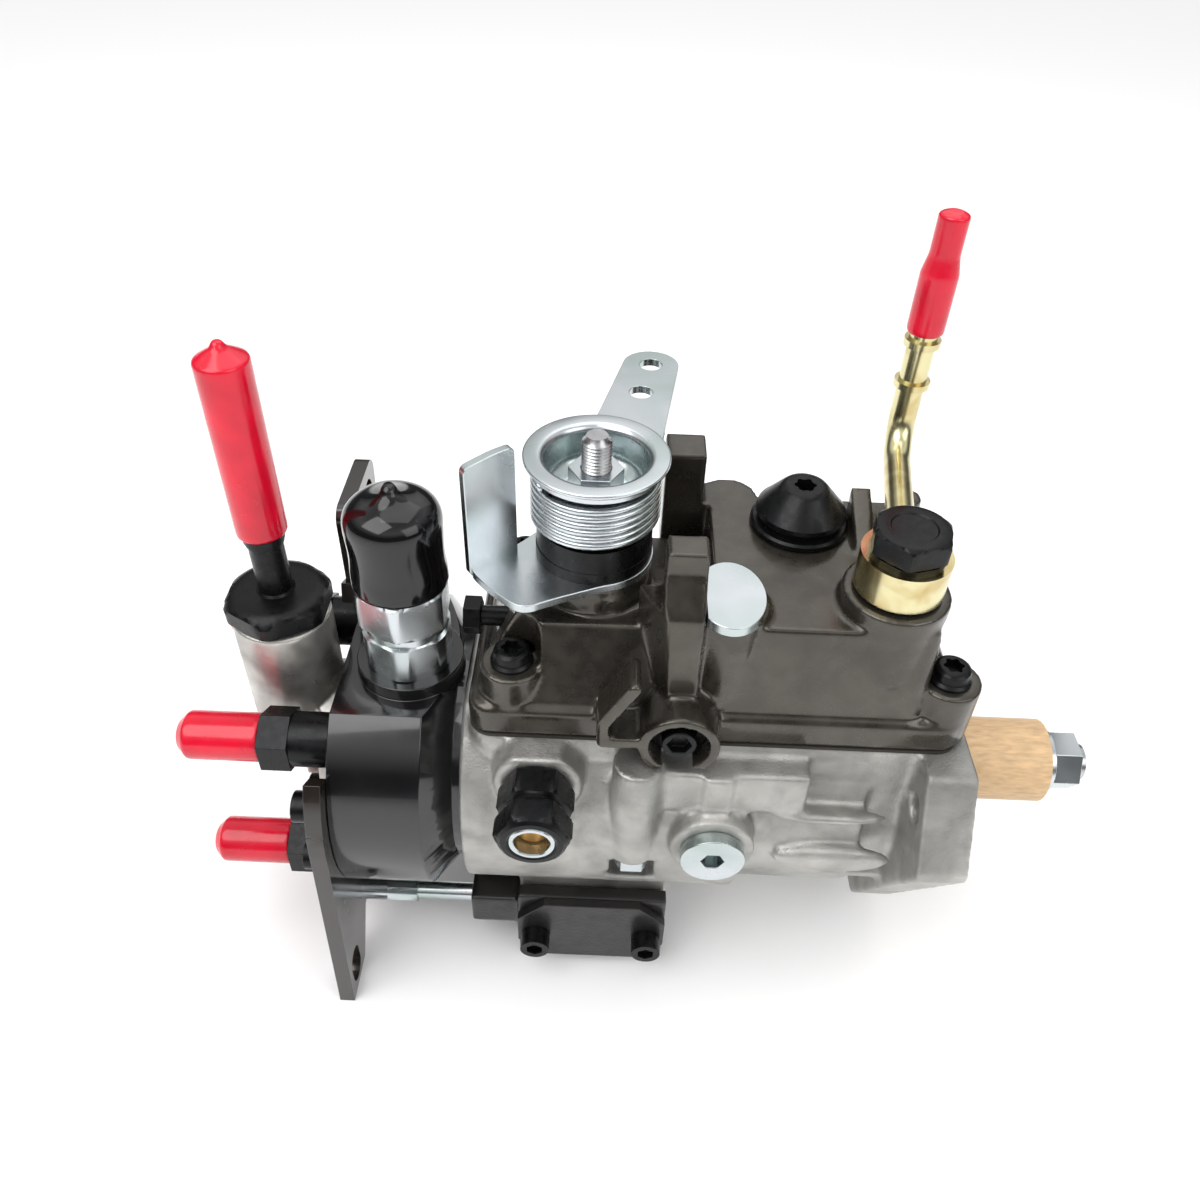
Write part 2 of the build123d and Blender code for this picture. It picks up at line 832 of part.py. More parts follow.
with BuildPart() as transfer_liner:
    rod_x(head_face, head_face + liner_length, liner_outer - running_clearance)
    rod_x(head_face - overrun, head_face + liner_length + overrun, liner_inner, 0, liner_offset,
          mode=Mode.SUBTRACT)
save(transfer_liner, "transfer_liner")


# Internal cam ring with its advance screw, plungers with shoes, and rollers
with BuildPart() as cam_ring:
    with BuildSketch(Plane.YZ.offset(-advance_x - cam_ring_width / 2)) as cam_profile:
        Circle(housing_bore_radius - running_clearance)
        Circle(cam_base_radius, mode=Mode.SUBTRACT)
        lobe_place = cam_base_radius - cam_lobe_height + cam_lobe_radius
        with PolarLocations(lobe_place, cam_lobe_count, start_angle=full_turn / cam_lobe_count / 2):
            Circle(cam_lobe_radius)
    extrude(cam_profile.sketch, amount=cam_ring_width)
    rod_z(-housing_bore_radius - overrun, -cam_base_radius + overrun, cam_screw_radius + running_clearance,
          -advance_x, 0, mode=Mode.SUBTRACT)
    # The advance screw is a solid of its own, which ends in a ball inside the piston
    rod_z(-advance_z, -cam_base_radius - cam_ball_radius, cam_screw_radius, -advance_x, 0)
    with Locations((-advance_x, 0, -advance_z)):
        Sphere(cam_ball_radius)
save(cam_ring, "cam_ring")


def plunger_with_shoe(side, name):
    """A plunger and the roller shoe that it pushes, two solids that slide as one."""
    with BuildPart() as plunger:
        rod_y(*sorted((side * plunger_inner, side * shoe_inner)), plunger_radius, -advance_x, 0)
        shoe_span = sorted((side * shoe_inner, side * roller_place))
        block((-advance_x - roller_length / 2, -advance_x + roller_length / 2), shoe_span,
              (-shoe_half_width, shoe_half_width))
        rod_x(-advance_x - roller_length, -advance_x + roller_length,
              roller_radius + running_clearance, side * roller_place, 0, mode=Mode.SUBTRACT)
    save(plunger, name)


def roller(side, name):
    with BuildPart() as piece:
        rod_x(-advance_x - roller_length / 2, -advance_x + roller_length / 2, roller_radius,
              side * roller_place, 0)
    save(piece, name)


for side, end_name in ((-1, "front"), (1, "rear")):
    plunger_with_shoe(side, "plunger_" + end_name)
    roller(side, "roller_" + end_name)


# Mechanical governor: cage, weights, sliding sleeve, forked arm, link and metering valve
def around_shaft(angle):
    """Plane across the shaft at the weights, whose local x points outwards at an angle."""
    return Plane(origin=(weight_x, 0, 0), x_dir=(0, cos(radians(angle)), sin(radians(angle))),
                 z_dir=(0, sin(radians(angle)), -cos(radians(angle))))


weight_angles = [full_turn / weight_count * (number + half_step) for number in range(weight_count)]
ear_place = weight_width / 2 + running_clearance + ear_width / 2

with BuildPart() as governor_cage:
    rod_x(-cage_x, sleeve_gap_level, cage_radius)
    for angle in weight_angles:
        for side in (-1, 1):
            with BuildSketch(around_shaft(angle).offset(side * ear_place - ear_width / 2)) as ear:
                with Locations(((ear_inner + ear_outer) / 2, 0)):
                    Rectangle(ear_outer - ear_inner, cage_ear_length)
                with Locations((weight_pivot_radius, 0)):
                    Circle(weight_pin_radius + running_clearance, mode=Mode.SUBTRACT)
            extrude(ear.sketch, amount=ear_width)
    rod_x(-cage_x - overrun, sleeve_gap_level + overrun, shaft_radius + running_clearance,
          mode=Mode.SUBTRACT)
save(governor_cage, "governor_cage")


def governor_weight(angle, name):
    """Flyweight with its toe towards the shaft and a pin across its heel."""
    with BuildPart() as weight:
        side_plane = around_shaft(angle)
        with BuildSketch(side_plane.offset(-weight_width / 2)) as side_profile:
            with BuildLine():
                Polyline((weight_inner, -weight_toe_thickness / 2),
                         (toe_inner, -weight_toe_thickness / 2),
                         (toe_inner, weight_toe_thickness / 2),
                         (weight_inner, weight_toe_thickness / 2),
                         (weight_inner, weight_length - weight_toe_thickness),
                         (weight_outer, weight_length - weight_toe_thickness),
                         (weight_outer, -weight_toe_thickness / 2), close=True)
            make_face()
        extrude(side_profile.sketch, amount=weight_width)
        pin_half = weight_width / 2 + ear_width
        with BuildSketch(side_plane.offset(-pin_half)) as pin_profile:
            with Locations((weight_pivot_radius, 0)):
                Circle(weight_pin_radius)
        extrude(pin_profile.sketch, amount=2 * pin_half)
        weight.part.label = name
    save(weight, name)


for number, angle in enumerate(weight_angles):
    governor_weight(angle, "governor_weight_" + str(number + 1))

with BuildPart() as governor_sleeve:
    rod_x(governor_sleeve_left, governor_sleeve_right, sleeve_radius)
    rod_x(governor_sleeve_left - overrun, governor_sleeve_right + overrun,
          shaft_radius + running_clearance, mode=Mode.SUBTRACT)
save(governor_sleeve, "governor_sleeve")

with BuildPart() as governor_arm:
    arm_left = -arm_x - arm_thickness / 2
    fork_outer = arm_fork_inner + arm_prong_width
    with BuildSketch(Plane.YZ.offset(arm_left)) as arm_face:
        with Locations((0, (arm_pivot_level - arm_fork_reach) / 2)):
            Rectangle(2 * fork_outer, arm_pivot_level + arm_fork_reach)
        with Locations((0, (arm_fork_top - 2 * arm_fork_reach) / 2)):
            Rectangle(2 * arm_fork_inner, arm_fork_top + 2 * arm_fork_reach, mode=Mode.SUBTRACT)
        with Locations((metering_lever_length, (arm_pivot_level + arm_top_level) / 2)):
            Rectangle(arm_top_width, arm_top_level - arm_pivot_level)
        with Locations((metering_lever_length, link_level)):
            Circle(link_radius + link_clearance, mode=Mode.SUBTRACT)
    extrude(arm_face.sketch, amount=arm_thickness)
    rod_y(-fork_outer, fork_outer, arm_hub_radius, -arm_x, arm_pivot_level)
    rod_y(-trunnion_half_length + seat_gap, trunnion_half_length - seat_gap, arm_pin_radius,
          -arm_x, arm_pivot_level)
save(governor_arm, "governor_arm")

with BuildPart() as governor_link:
    rod_x(-metering_x - link_radius, -arm_x + metering_lever_length, link_radius,
          metering_lever_length, link_level)
    rod_z(metering_lever_level - metering_lever_thickness, link_level, link_radius,
          -metering_x, metering_lever_length)
save(governor_link, "governor_link")

with BuildPart() as metering_valve:
    lever_top = metering_lever_level + metering_lever_thickness
    rod_z(metering_bottom + seat_gap, metering_shoulder, metering_radius, -metering_x, 0)
    rod_z(metering_shoulder, lever_top, metering_stem_radius, -metering_x, 0)
    with BuildSketch(Plane.XY.offset(metering_lever_level)) as lever_face:
        with Locations((-metering_x, 0), (-metering_x, metering_lever_length)):
            Circle(metering_eye_radius)
        with Locations((-metering_x, metering_lever_length / 2)):
            Rectangle(2 * metering_stem_radius, metering_lever_length)
        with Locations((-metering_x, metering_lever_length)):
            Circle(link_radius + link_clearance, mode=Mode.SUBTRACT)
    extrude(lever_face.sketch, amount=metering_lever_thickness)
save(metering_valve, "metering_valve")


# Hydraulic head, delivery valve holders, valves and transit caps
cone_start = head_face + head_length
neck_start = cone_start + head_cone_length

with BuildPart() as hydraulic_head:
    turned_x([(head_face, 0), (head_face, head_radius), (cone_start, head_radius),
              (neck_start, head_neck_radius), (barrel_rear, head_neck_radius),
              (barrel_rear, housing_bore_radius - running_clearance),
              (spigot_end, housing_bore_radius - running_clearance), (spigot_end, 0)])
    block((head_face - overrun, barrel_rear), (-head_radius, head_radius),
          (seam_height, head_radius + overrun), mode=Mode.SUBTRACT)
    rod_z(0, solenoid_seat, solenoid_boss_radius, -solenoid_x, -solenoid_y)
    rod_z(solenoid_seat - solenoid_depth - seat_gap, solenoid_seat + overrun,
          solenoid_thread_radius + running_clearance, -solenoid_x, -solenoid_y, mode=Mode.SUBTRACT)
    plunger_tip = solenoid_seat - solenoid_depth + solenoid_plunger_depth - solenoid_plunger_length
    rod_z(plunger_tip - seat_gap, solenoid_seat, solenoid_plunger_radius + running_clearance,
          -solenoid_x, -solenoid_y, mode=Mode.SUBTRACT)
    # Bores for the rotor, the transfer pump, the outlets and the metering valve
    rod_x(head_face - overrun, spigot_end + overrun, rotor_radius, mode=Mode.SUBTRACT)
    rod_x(head_face - overrun, head_face + liner_length, liner_outer, mode=Mode.SUBTRACT)
    for y, z in outlets:
        rod_x(head_face - overrun, head_face + holder_thread_length,
              holder_thread_radius + running_clearance, y, z, mode=Mode.SUBTRACT)
    rod_z(metering_bottom, head_radius, metering_radius + running_clearance, -metering_x, 0,
          mode=Mode.SUBTRACT)
    block((-metering_x - governor_bay_wall, spigot_end + overrun),
          (-metering_lever_length, metering_lever_length), (metering_shoulder, head_radius),
          mode=Mode.SUBTRACT)
    for angle in bracket_screw_angles:
        y, z = polar(bracket_screw_circle, angle)
        rod_x(head_face - overrun, head_face + socket_screw_depth,
              socket_screw_radius + screw_clearance, y, z, mode=Mode.SUBTRACT)
    for angle in end_plate_screw_angles:
        y, z = polar(end_plate_screw_circle, angle)
        rod_x(head_face - overrun, head_face + socket_screw_depth,
              socket_screw_radius + screw_clearance, y, z, mode=Mode.SUBTRACT)
save(hydraulic_head, "hydraulic_head")

holder_shoulder = head_face - holder_collar_length
holder_hex_end = holder_shoulder - holder_hex_length
holder_tip = holder_hex_end - holder_nipple_length
valve_bore = delivery_valve_radius + running_clearance

with BuildPart() as delivery_holders:
    for y, z in outlets:
        rod_x(head_face, head_face + holder_thread_length - seat_gap, holder_thread_radius, y, z)
        rod_x(holder_shoulder, head_face, holder_collar_radius, y, z)
        hex_x(holder_hex_end, holder_shoulder, holder_flats, y, z, turn=full_turn / hex_sides / 2)
        rod_x(holder_tip, holder_hex_end, holder_nipple_radius, y, z)
        rod_x(holder_tip - overrun, 0, holder_outlet_radius, y, z, mode=Mode.SUBTRACT)
        rod_x(head_face - delivery_valve_lift, head_face + holder_thread_length, valve_bore, y, z,
              mode=Mode.SUBTRACT)
save(delivery_holders, "delivery_holders")

with BuildPart() as delivery_valves:
    valve_end = head_face + holder_thread_length - seat_gap
    for y, z in outlets:
        rod_x(valve_end - delivery_valve_length, valve_end, delivery_valve_radius, y, z)
save(delivery_valves, "delivery_valves")

with BuildPart() as delivery_caps:
    cap_mouth = holder_hex_end - soft_gap
    cap_tip = holder_hex_end - delivery_cap_length
    shoulder = delivery_cap_radius - delivery_cap_round
    for y, z in outlets:
        turned_x([(cap_mouth, holder_nipple_radius + soft_gap), (cap_mouth, delivery_cap_radius),
                  (cap_tip + delivery_cap_round, delivery_cap_radius), (cap_tip, shoulder),
                  (cap_tip, 0), (cap_tip + delivery_cap_end, 0),
                  (cap_tip + delivery_cap_end, holder_nipple_radius + soft_gap)], y, z)
save(delivery_caps, "delivery_caps")


# Rear bracket on the face of the head, with the support rod beside it
bracket_rear = head_face - bracket_thickness

with BuildPart() as rear_bracket:
    with BuildSketch(Plane.YZ.offset(bracket_rear)) as bracket_face:
        Circle(bracket_ring_outer)
        with BuildLine():
            Polyline((0, 0), polar(2 * bracket_ring_outer, bracket_gap_start),
                     polar(2 * bracket_ring_outer, quarter_turn),
                     polar(2 * bracket_ring_outer, bracket_gap_end), close=True)
        make_face(mode=Mode.SUBTRACT)
        with BuildLine():
            Polyline((-bracket_waist_outer, bracket_waist_z), (-bracket_foot_outer, -floor_depth),
                     (-bracket_foot_inner, -floor_depth), (-bracket_waist_inner, -support_z),
                     (0, -support_z), (0, 0), close=True)
        make_face()
        with BuildLine():
            Polyline((bracket_arm_left, 0), (bracket_arm_left, bracket_arm_top),
                     (bracket_arm_right, bracket_arm_top), (bracket_ring_outer, 0), close=True)
        make_face()
        fillet(bracket_face.vertices().group_by(Axis.Y)[-1], bracket_corner_radius)
        Circle(bracket_ring_inner, mode=Mode.SUBTRACT)
        with Locations([polar(bracket_screw_circle, angle) for angle in bracket_screw_angles]):
            Circle(bracket_lobe_radius)
        with Locations((-support_y, -support_z)):
            Circle(bracket_lobe_radius)
        with Locations([polar(bracket_screw_circle, angle) for angle in bracket_screw_angles]):
            Circle(socket_screw_radius + screw_clearance, mode=Mode.SUBTRACT)
        with Locations((-support_y, -support_z)):
            Circle(rod_radius + running_clearance, mode=Mode.SUBTRACT)
        with Locations(outlets):
            Circle(holder_collar_radius + seat_gap, mode=Mode.SUBTRACT)
        with Locations((bracket_arm_hole_y, bracket_arm_hole_z)):
            Circle(bracket_hole_diameter / 2, mode=Mode.SUBTRACT)
        with Locations((-bracket_slot_y, -bracket_slot_z)):
            SlotOverall(bracket_slot_length, bracket_hole_diameter, rotation=quarter_turn,
                        mode=Mode.SUBTRACT)
    extrude(bracket_face.sketch, amount=bracket_thickness)
save(rear_bracket, "rear_bracket")

advance_fitting_left = barrel_rear

with BuildPart() as support_rod:
    rod_x(bracket_rear - rod_nut_height, advance_fitting_left, rod_radius, -support_y, -support_z)
    rod_x(head_face, -rod_hex_start, rod_radius + running_clearance + overrun, -support_y, -support_z)
    hex_x(-rod_hex_start - rod_hex_length, -rod_hex_start, rod_hex_flats, -support_y, -support_z)
    hex_x(bracket_rear - rod_nut_height, bracket_rear, rod_nut_flats, -support_y, -support_z)
save(support_rod, "support_rod")


# Inlet housing over the transfer pump, its connector and the long cap
plate_face = head_face - end_plate_thickness

with BuildPart() as inlet_housing:
    rod_x(plate_face, head_face, end_plate_radius)
    rod_z(inlet_barrel_bottom, inlet_barrel_top, inlet_barrel_radius, -inlet_x, inlet_y)
    block((-inlet_x, plate_face), (inlet_y - end_plate_web, inlet_y + end_plate_web),
          (end_plate_web_bottom - end_plate_radius, inlet_barrel_top - end_plate_web))
    rod_z(inlet_barrel_top - inlet_spigot_depth - seat_gap, inlet_barrel_top + overrun,
          inlet_spigot_radius + running_clearance, -inlet_x, inlet_y, mode=Mode.SUBTRACT)
    rod_z(inlet_barrel_bottom + end_plate_thickness, inlet_barrel_top, inlet_passage_radius,
          -inlet_x, inlet_y, mode=Mode.SUBTRACT)
    for angle in end_plate_screw_angles:
        y, z = polar(end_plate_screw_circle, angle)
        rod_x(-inlet_x, head_face + overrun, socket_screw_radius + screw_clearance, y, z,
              mode=Mode.SUBTRACT)
        rod_x(-inlet_x - inlet_barrel_radius, plate_face, socket_head_radius + screw_clearance, y, z,
              mode=Mode.SUBTRACT)
save(inlet_housing, "inlet_housing")

nut_top = inlet_barrel_top + inlet_nut_height
tube_top = nut_top + inlet_tube_height
bead_bottom = nut_top + inlet_bead_level
bead_top = bead_bottom + inlet_bead_height

with BuildPart() as inlet_connector:
    rod_z(inlet_barrel_top - inlet_spigot_depth, inlet_barrel_top, inlet_spigot_radius,
          -inlet_x, inlet_y)
    hex_z(inlet_barrel_top, nut_top - inlet_nut_chamfer, inlet_nut_flats, -inlet_x, inlet_y)
    turned_z([(0, nut_top - inlet_nut_chamfer), (inlet_nut_flats / 2, nut_top - inlet_nut_chamfer),
              (inlet_nut_flats / 2 - inlet_nut_chamfer, nut_top), (inlet_tube_radius, nut_top),
              (inlet_tube_radius, bead_bottom), (inlet_bead_radius, bead_bottom),
              (inlet_bead_radius, bead_top), (inlet_tube_radius, bead_top),
              (inlet_tube_radius, tube_top), (0, tube_top)], -inlet_x, inlet_y)
    rod_z(0, tube_top + overrun, inlet_bore_radius, -inlet_x, inlet_y, mode=Mode.SUBTRACT)
save(inlet_connector, "inlet_connector")

with BuildPart() as inlet_cap:
    mouth = bead_top + soft_gap
    crown = mouth + inlet_cap_length
    inner = inlet_cap_radius - inlet_cap_wall
    turned_z([(inner, mouth), (inlet_cap_radius, mouth),
              (inlet_cap_radius, crown - inlet_cap_end), (inlet_cap_nub_radius, crown),
              (inlet_cap_nub_radius / 2, crown + inlet_cap_nub_height),
              (0, crown + inlet_cap_nub_height), (0, crown - inlet_cap_end),
              (inner, crown - inlet_cap_end)], -inlet_x, inlet_y)
save(inlet_cap, "inlet_cap")


# Stop solenoid, its plunger and the vinyl cap over the terminal
body_top = solenoid_seat + solenoid_visible
hex_top = body_top + solenoid_hex_height
terminal_top = hex_top + solenoid_terminal_height

with BuildPart() as solenoid_body:
    rod_z(solenoid_seat - solenoid_depth, solenoid_seat, solenoid_thread_radius,
          -solenoid_x, -solenoid_y)
    rod_z(solenoid_seat, body_top, solenoid_radius, -solenoid_x, -solenoid_y)
    hex_z(body_top, hex_top, solenoid_flats, -solenoid_x, -solenoid_y)
    rod_z(hex_top, terminal_top, solenoid_terminal_radius, -solenoid_x, -solenoid_y)
    rod_z(0, solenoid_seat - solenoid_depth + solenoid_plunger_depth + solenoid_stroke + seat_gap,
          solenoid_plunger_radius + running_clearance, -solenoid_x, -solenoid_y, mode=Mode.SUBTRACT)
save(solenoid_body, "solenoid_body")

with BuildPart() as solenoid_plunger:
    rod_z(plunger_tip, plunger_tip + solenoid_plunger_length, solenoid_plunger_radius,
          -solenoid_x, -solenoid_y)
save(solenoid_plunger, "solenoid_plunger")

with BuildPart() as solenoid_cap:
    mouth = hex_top + soft_gap
    crown = mouth + solenoid_cap_height
    inner = solenoid_cap_radius - solenoid_cap_wall
    turned_z([(inner, mouth), (solenoid_cap_radius, mouth),
              (solenoid_cap_radius, crown - solenoid_cap_round),
              (solenoid_cap_radius - solenoid_cap_round, crown),
              (solenoid_nipple_radius, crown), (solenoid_nipple_radius / 2, crown + solenoid_nipple_height),
              (0, crown + solenoid_nipple_height), (0, crown - solenoid_cap_round),
              (inner, crown - solenoid_cap_round)], -solenoid_x, -solenoid_y)
save(solenoid_cap, "solenoid_cap")


# Governor cover, its gasket and screws
skirt_top = seam_height + cover_skirt_height
lug_top = seam_height + cover_lug_height
banjo_centre = (-banjo_x, -banjo_y)
block_bottom = speed_block_top - speed_block_size


def post_form():
    """Tapered post: a side outline pulled along X, with its left flank cut at a slant."""
    with BuildPart() as post:
        with BuildSketch(Plane.YZ.offset(-post_back_left)) as side_outline:
            with BuildLine():
                Polyline((-post_front, post_bottom), (-post_knee_y, post_knee),
                         (-post_neck_y, post_neck), (-post_neck_y, post_top),
                         (-post_back, post_top), (-post_back, post_bottom), close=True)
            make_face()
        extrude(side_outline.sketch, amount=post_back_left - post_right)
        with BuildSketch(Plane.XY.offset(post_bottom)) as flank:
            with BuildLine():
                Polyline((-post_back_left, -post_front), (-post_left, -post_front),
                         (-post_back_left, -post_back), close=True)
            make_face()
        extrude(flank.sketch, amount=post_top - post_bottom, mode=Mode.SUBTRACT)
        block((-post_back_left, -post_head_left), (-post_front, -post_back),
              (post_knee, post_top), mode=Mode.SUBTRACT)
    return post.part


with BuildPart() as governor_cover:
    extrude(Plane.XY.offset(cover_base) * cover_outline(), amount=skirt_top - cover_bead - cover_base)
    extrude(Plane.XY.offset(skirt_top - cover_bead) * cover_outline(-cover_bead / 2), amount=cover_bead)
    # Main box, whose walls lean in towards the top
    main_centre = -(cover_main_left + cover_main_right) / 2
    main_length = cover_main_left - cover_main_right
    with BuildSketch(Plane.XY.offset(cover_base)) as main_low:
        with Locations((main_centre, (cover_back_low - cover_front_low) / 2)):
            RectangleRounded(main_length, cover_back_low + cover_front_low, cover_corner_radius)
    with BuildSketch(Plane.XY.offset(cover_top)) as main_high:
        with Locations((main_centre, (cover_back_high - cover_front_high) / 2)):
            RectangleRounded(main_length, cover_back_high + cover_front_high, cover_corner_radius)
    loft([main_low.sketch, main_high.sketch])
    # Lower left part round the throttle tower, and the lower right end
    left_right = cover_main_left - 2 * cover_corner_radius
    left_high_end = cover_left_end - cover_left_lean
    with BuildSketch(Plane.XY.offset(skirt_top)) as left_low:
        with Locations((-(cover_left_end + left_right) / 2, 0)):
            RectangleRounded(cover_left_end - left_right, 2 * cover_left_half, cover_corner_radius)
    with BuildSketch(Plane.XY.offset(cover_left_top)) as left_high:
        with Locations((-(left_high_end + left_right) / 2, 0)):
            RectangleRounded(left_high_end - left_right, 2 * (cover_left_half - cover_left_lean),
                             cover_corner_radius)
    loft([left_low.sketch, left_high.sketch])
    with BuildSketch(Plane.XY.offset(cover_base)) as right_low:
        with Locations((-(cover_end_right + cover_main_right + 2 * cover_corner_radius) / 2,
                        (cover_back_low - cover_end_front) / 2)):
            RectangleRounded(cover_main_right - cover_end_right + 2 * cover_corner_radius,
                             cover_back_low + cover_end_front, cover_corner_radius)
    extrude(right_low.sketch, amount=cover_end_top - cover_base, taper=cover_right_taper)
    rod_z(cover_base, tower_top, tower_radius, *throttle_centre)
    rod_z(tower_top, tower_top + tower_flange_height, tower_flange_radius, *throttle_centre)
    rod_z(stop_boss_bottom, stop_boss_top, stop_boss_radius, -stop_x, -stop_y)
    rod_z(banjo_boss_bottom, banjo_boss_top, banjo_boss_radius, *banjo_centre)
    rod_z(bulge_bottom, cover_top, bulge_radius, -bulge_x, bulge_y)
    rod_z(cover_top - cover_wall, stub_top, stub_radius, -stub_x - stub_radius, stub_y)
    for x, y in cover_screw_places():
        rod_z(cover_base, lug_top, cover_lug_radius, x, y)
    with BuildSketch(Plane.YZ.offset(-wedge_x - wedge_width / 2)) as wedge_side:
        with BuildLine():
            Polyline((wedge_front, cover_top - cover_wall), (wedge_back, cover_top - cover_wall),
                     (wedge_back, cover_top + wedge_height), (wedge_front, cover_top), close=True)
        make_face()
    extrude(wedge_side.sketch, amount=wedge_width)
    block((-speed_block_x - speed_block_size / 2, -speed_block_x + speed_block_size / 2),
          (speed_block_y - speed_block_size / 2, speed_block_y + speed_block_size / 2),
          (bulge_bottom, speed_block_top))
    # Hollow below, with room for the governor arm and its link
    block((-cover_left_end + cover_left_wall, -cover_main_left + cover_wall),
          (-cover_left_room_half, cover_left_room_half),
          (cover_base - overrun, cover_left_room), mode=Mode.SUBTRACT)
    block((-cover_main_left + cover_wall, -cover_main_right - cover_wall),
          (-cover_front_high + 2 * cover_wall, cover_back_high - cover_wall),
          (cover_base - overrun, cover_top - cover_wall), mode=Mode.SUBTRACT)
    # Screw boss on the front, cut off at the seam, with the hooked web to its left
    rod_y(-lock_face, -cover_front_high, lock_outer, -lock_x, lock_z)
    with BuildSketch(Plane.XZ.offset(web_back)) as web_face:
        with BuildLine():
            web_path = Polyline((-post_back_left, web_top), (-web_left, web_low),
                                (-web_left, web_bottom + web_thickness / 2),
                                (-lock_x - lock_outer, web_bottom + web_thickness / 2))
            offset(web_path, amount=web_thickness / 2)
        make_face()
    extrude(web_face.sketch, amount=lock_face - web_back)
    add(post_form())
    block((-cover_left_end, 0), (-lock_face - overrun, 0), (0, cover_base), mode=Mode.SUBTRACT)
    rod_y(-lock_face - overrun, -lock_floor, lock_inner, -lock_x, lock_z, mode=Mode.SUBTRACT)
    block((-lock_x - lock_slot / 2, -lock_x + lock_slot / 2), (-lock_face - overrun, -lock_floor),
          (0, lock_z - lock_inner / 2), mode=Mode.SUBTRACT)
    # Bores
    rod_z(cover_base, tower_top + tower_flange_height + overrun,
          throttle_shaft_radius + running_clearance, *throttle_centre, mode=Mode.SUBTRACT)
    rod_z(stop_shaft_bottom, stop_boss_top + overrun, stop_shaft_radius + running_clearance,
          -stop_x, -stop_y, mode=Mode.SUBTRACT)
    rod_z(cover_base, banjo_boss_top + overrun, banjo_bolt_radius + running_clearance,
          *banjo_centre, mode=Mode.SUBTRACT)
    rod_z(cover_base, cover_top + overrun, dome_spigot_radius + running_clearance,
          -dome_x, dome_y, mode=Mode.SUBTRACT)
    for x, y in cover_screw_places():
        rod_z(0, lug_top + overrun, cover_screw_radius + screw_clearance, x, y, mode=Mode.SUBTRACT)
        rod_z(lug_top, cover_top, cover_pad_radius, x, y, mode=Mode.SUBTRACT)
    rod_x(-cover_left_end - overrun, -cover_left_end + cover_wall + cover_corner_radius,
          idle_screw_radius + running_clearance, -idle_screw_y, idle_screw_z, mode=Mode.SUBTRACT)
    speed_level = (block_bottom + speed_block_top) / 2
    rod_x(-speed_block_x - speed_block_size, -speed_block_x + speed_block_size,
          idle_screw_radius + running_clearance, speed_block_y, speed_level, mode=Mode.SUBTRACT)
save(governor_cover, "governor_cover")

with BuildPart() as cover_gasket:
    extrude(Plane.XY.offset(seam_height) * cover_outline(), amount=gasket_thickness)
    extrude(Plane.XY.offset(seam_height) * cover_outline(-cover_wall), amount=gasket_thickness,
            mode=Mode.SUBTRACT)
    for x, y in cover_screw_places():
        rod_z(seam_height, cover_base, cover_lug_radius - cover_wall, x, y)
    for x, y in cover_screw_places():
        rod_z(0, cover_base + overrun, cover_screw_radius + screw_clearance, x, y, mode=Mode.SUBTRACT)
save(cover_gasket, "cover_gasket")

with BuildPart() as cover_screws:
    head_top = lug_top + cover_screw_head_height
    for x, y in cover_screw_places():
        rod_z(seam_height - cover_screw_depth + seat_gap, lug_top, cover_screw_radius, x, y)
        turned_z([(0, lug_top), (cover_screw_head_radius, lug_top),
                  (cover_screw_head_radius, head_top - recess_depth),
                  (cover_screw_head_radius - recess_depth / 2, head_top), (0, head_top)], x, y)
        rod_z(head_top - recess_depth, head_top + overrun, cover_recess_radius, x, y,
              mode=Mode.SUBTRACT)
save(cover_screws, "cover_screws")

with BuildPart() as cover_plug:
    flange_top = cover_top + dome_flange
    groove_top = flange_top + dome_groove
    lip_top = groove_top + dome_lip
    plug_top = cover_top + dome_height
    turned_z([(0, cover_top), (dome_radius, cover_top), (dome_radius, flange_top),
              (dome_groove_radius, flange_top), (dome_groove_radius, groove_top),
              (dome_radius - dome_lip, groove_top), (dome_radius - dome_lip, lip_top),
              (dome_top_radius, plug_top), (0, plug_top)], -dome_x, dome_y)
    rod_z(cover_top - dome_spigot_depth, cover_top, dome_spigot_radius, -dome_x, dome_y)
    hex_z(plug_top - dome_socket_depth, plug_top + overrun, dome_socket_flats, -dome_x, dome_y,
          mode=Mode.SUBTRACT)
save(cover_plug, "cover_plug")

with BuildPart() as blanking_disc:
    rod_z(stop_shaft_bottom + seat_gap, stop_boss_top, stop_shaft_radius, -stop_x, -stop_y)
    with BuildSketch(Plane.XY.offset(stop_boss_top)) as disc_face:
        with Locations((-stop_x, -stop_y)):
            Ellipse(stop_disc_width / 2, stop_disc_length / 2)
        with Locations((-post_right - stop_disc_width / 2 + seat_gap, -stop_y)):
            Rectangle(stop_disc_width, stop_disc_length, mode=Mode.SUBTRACT)
    extrude(disc_face.sketch, amount=stop_disc_thickness)
save(blanking_disc, "blanking_disc")

with BuildPart() as lock_screw:
    screw_face = -lock_floor - lock_washer_thickness - lock_screw_length
    rod_y(-lock_floor - lock_washer_thickness, -lock_floor, lock_inner - running_clearance,
          -lock_x, lock_z)
    rod_y(screw_face, -lock_floor - lock_washer_thickness, lock_screw_radius, -lock_x, lock_z)
    hex_y(screw_face - overrun, screw_face + lock_screw_length / 2, lock_screw_flats,
          -lock_x, lock_z, mode=Mode.SUBTRACT)
    block((-lock_x - lock_inner, -lock_x + lock_inner), (screw_face, 0), (0, cover_base),
          mode=Mode.SUBTRACT)
save(lock_screw, "lock_screw")


# Leak off pipe with its banjo, bolt and cap
ring_bottom = banjo_boss_top + banjo_washer_thickness
ring_top = ring_bottom + banjo_ring_height
pipe_level = ring_bottom + banjo_ring_height / 2
head_bottom = ring_top + banjo_washer_thickness


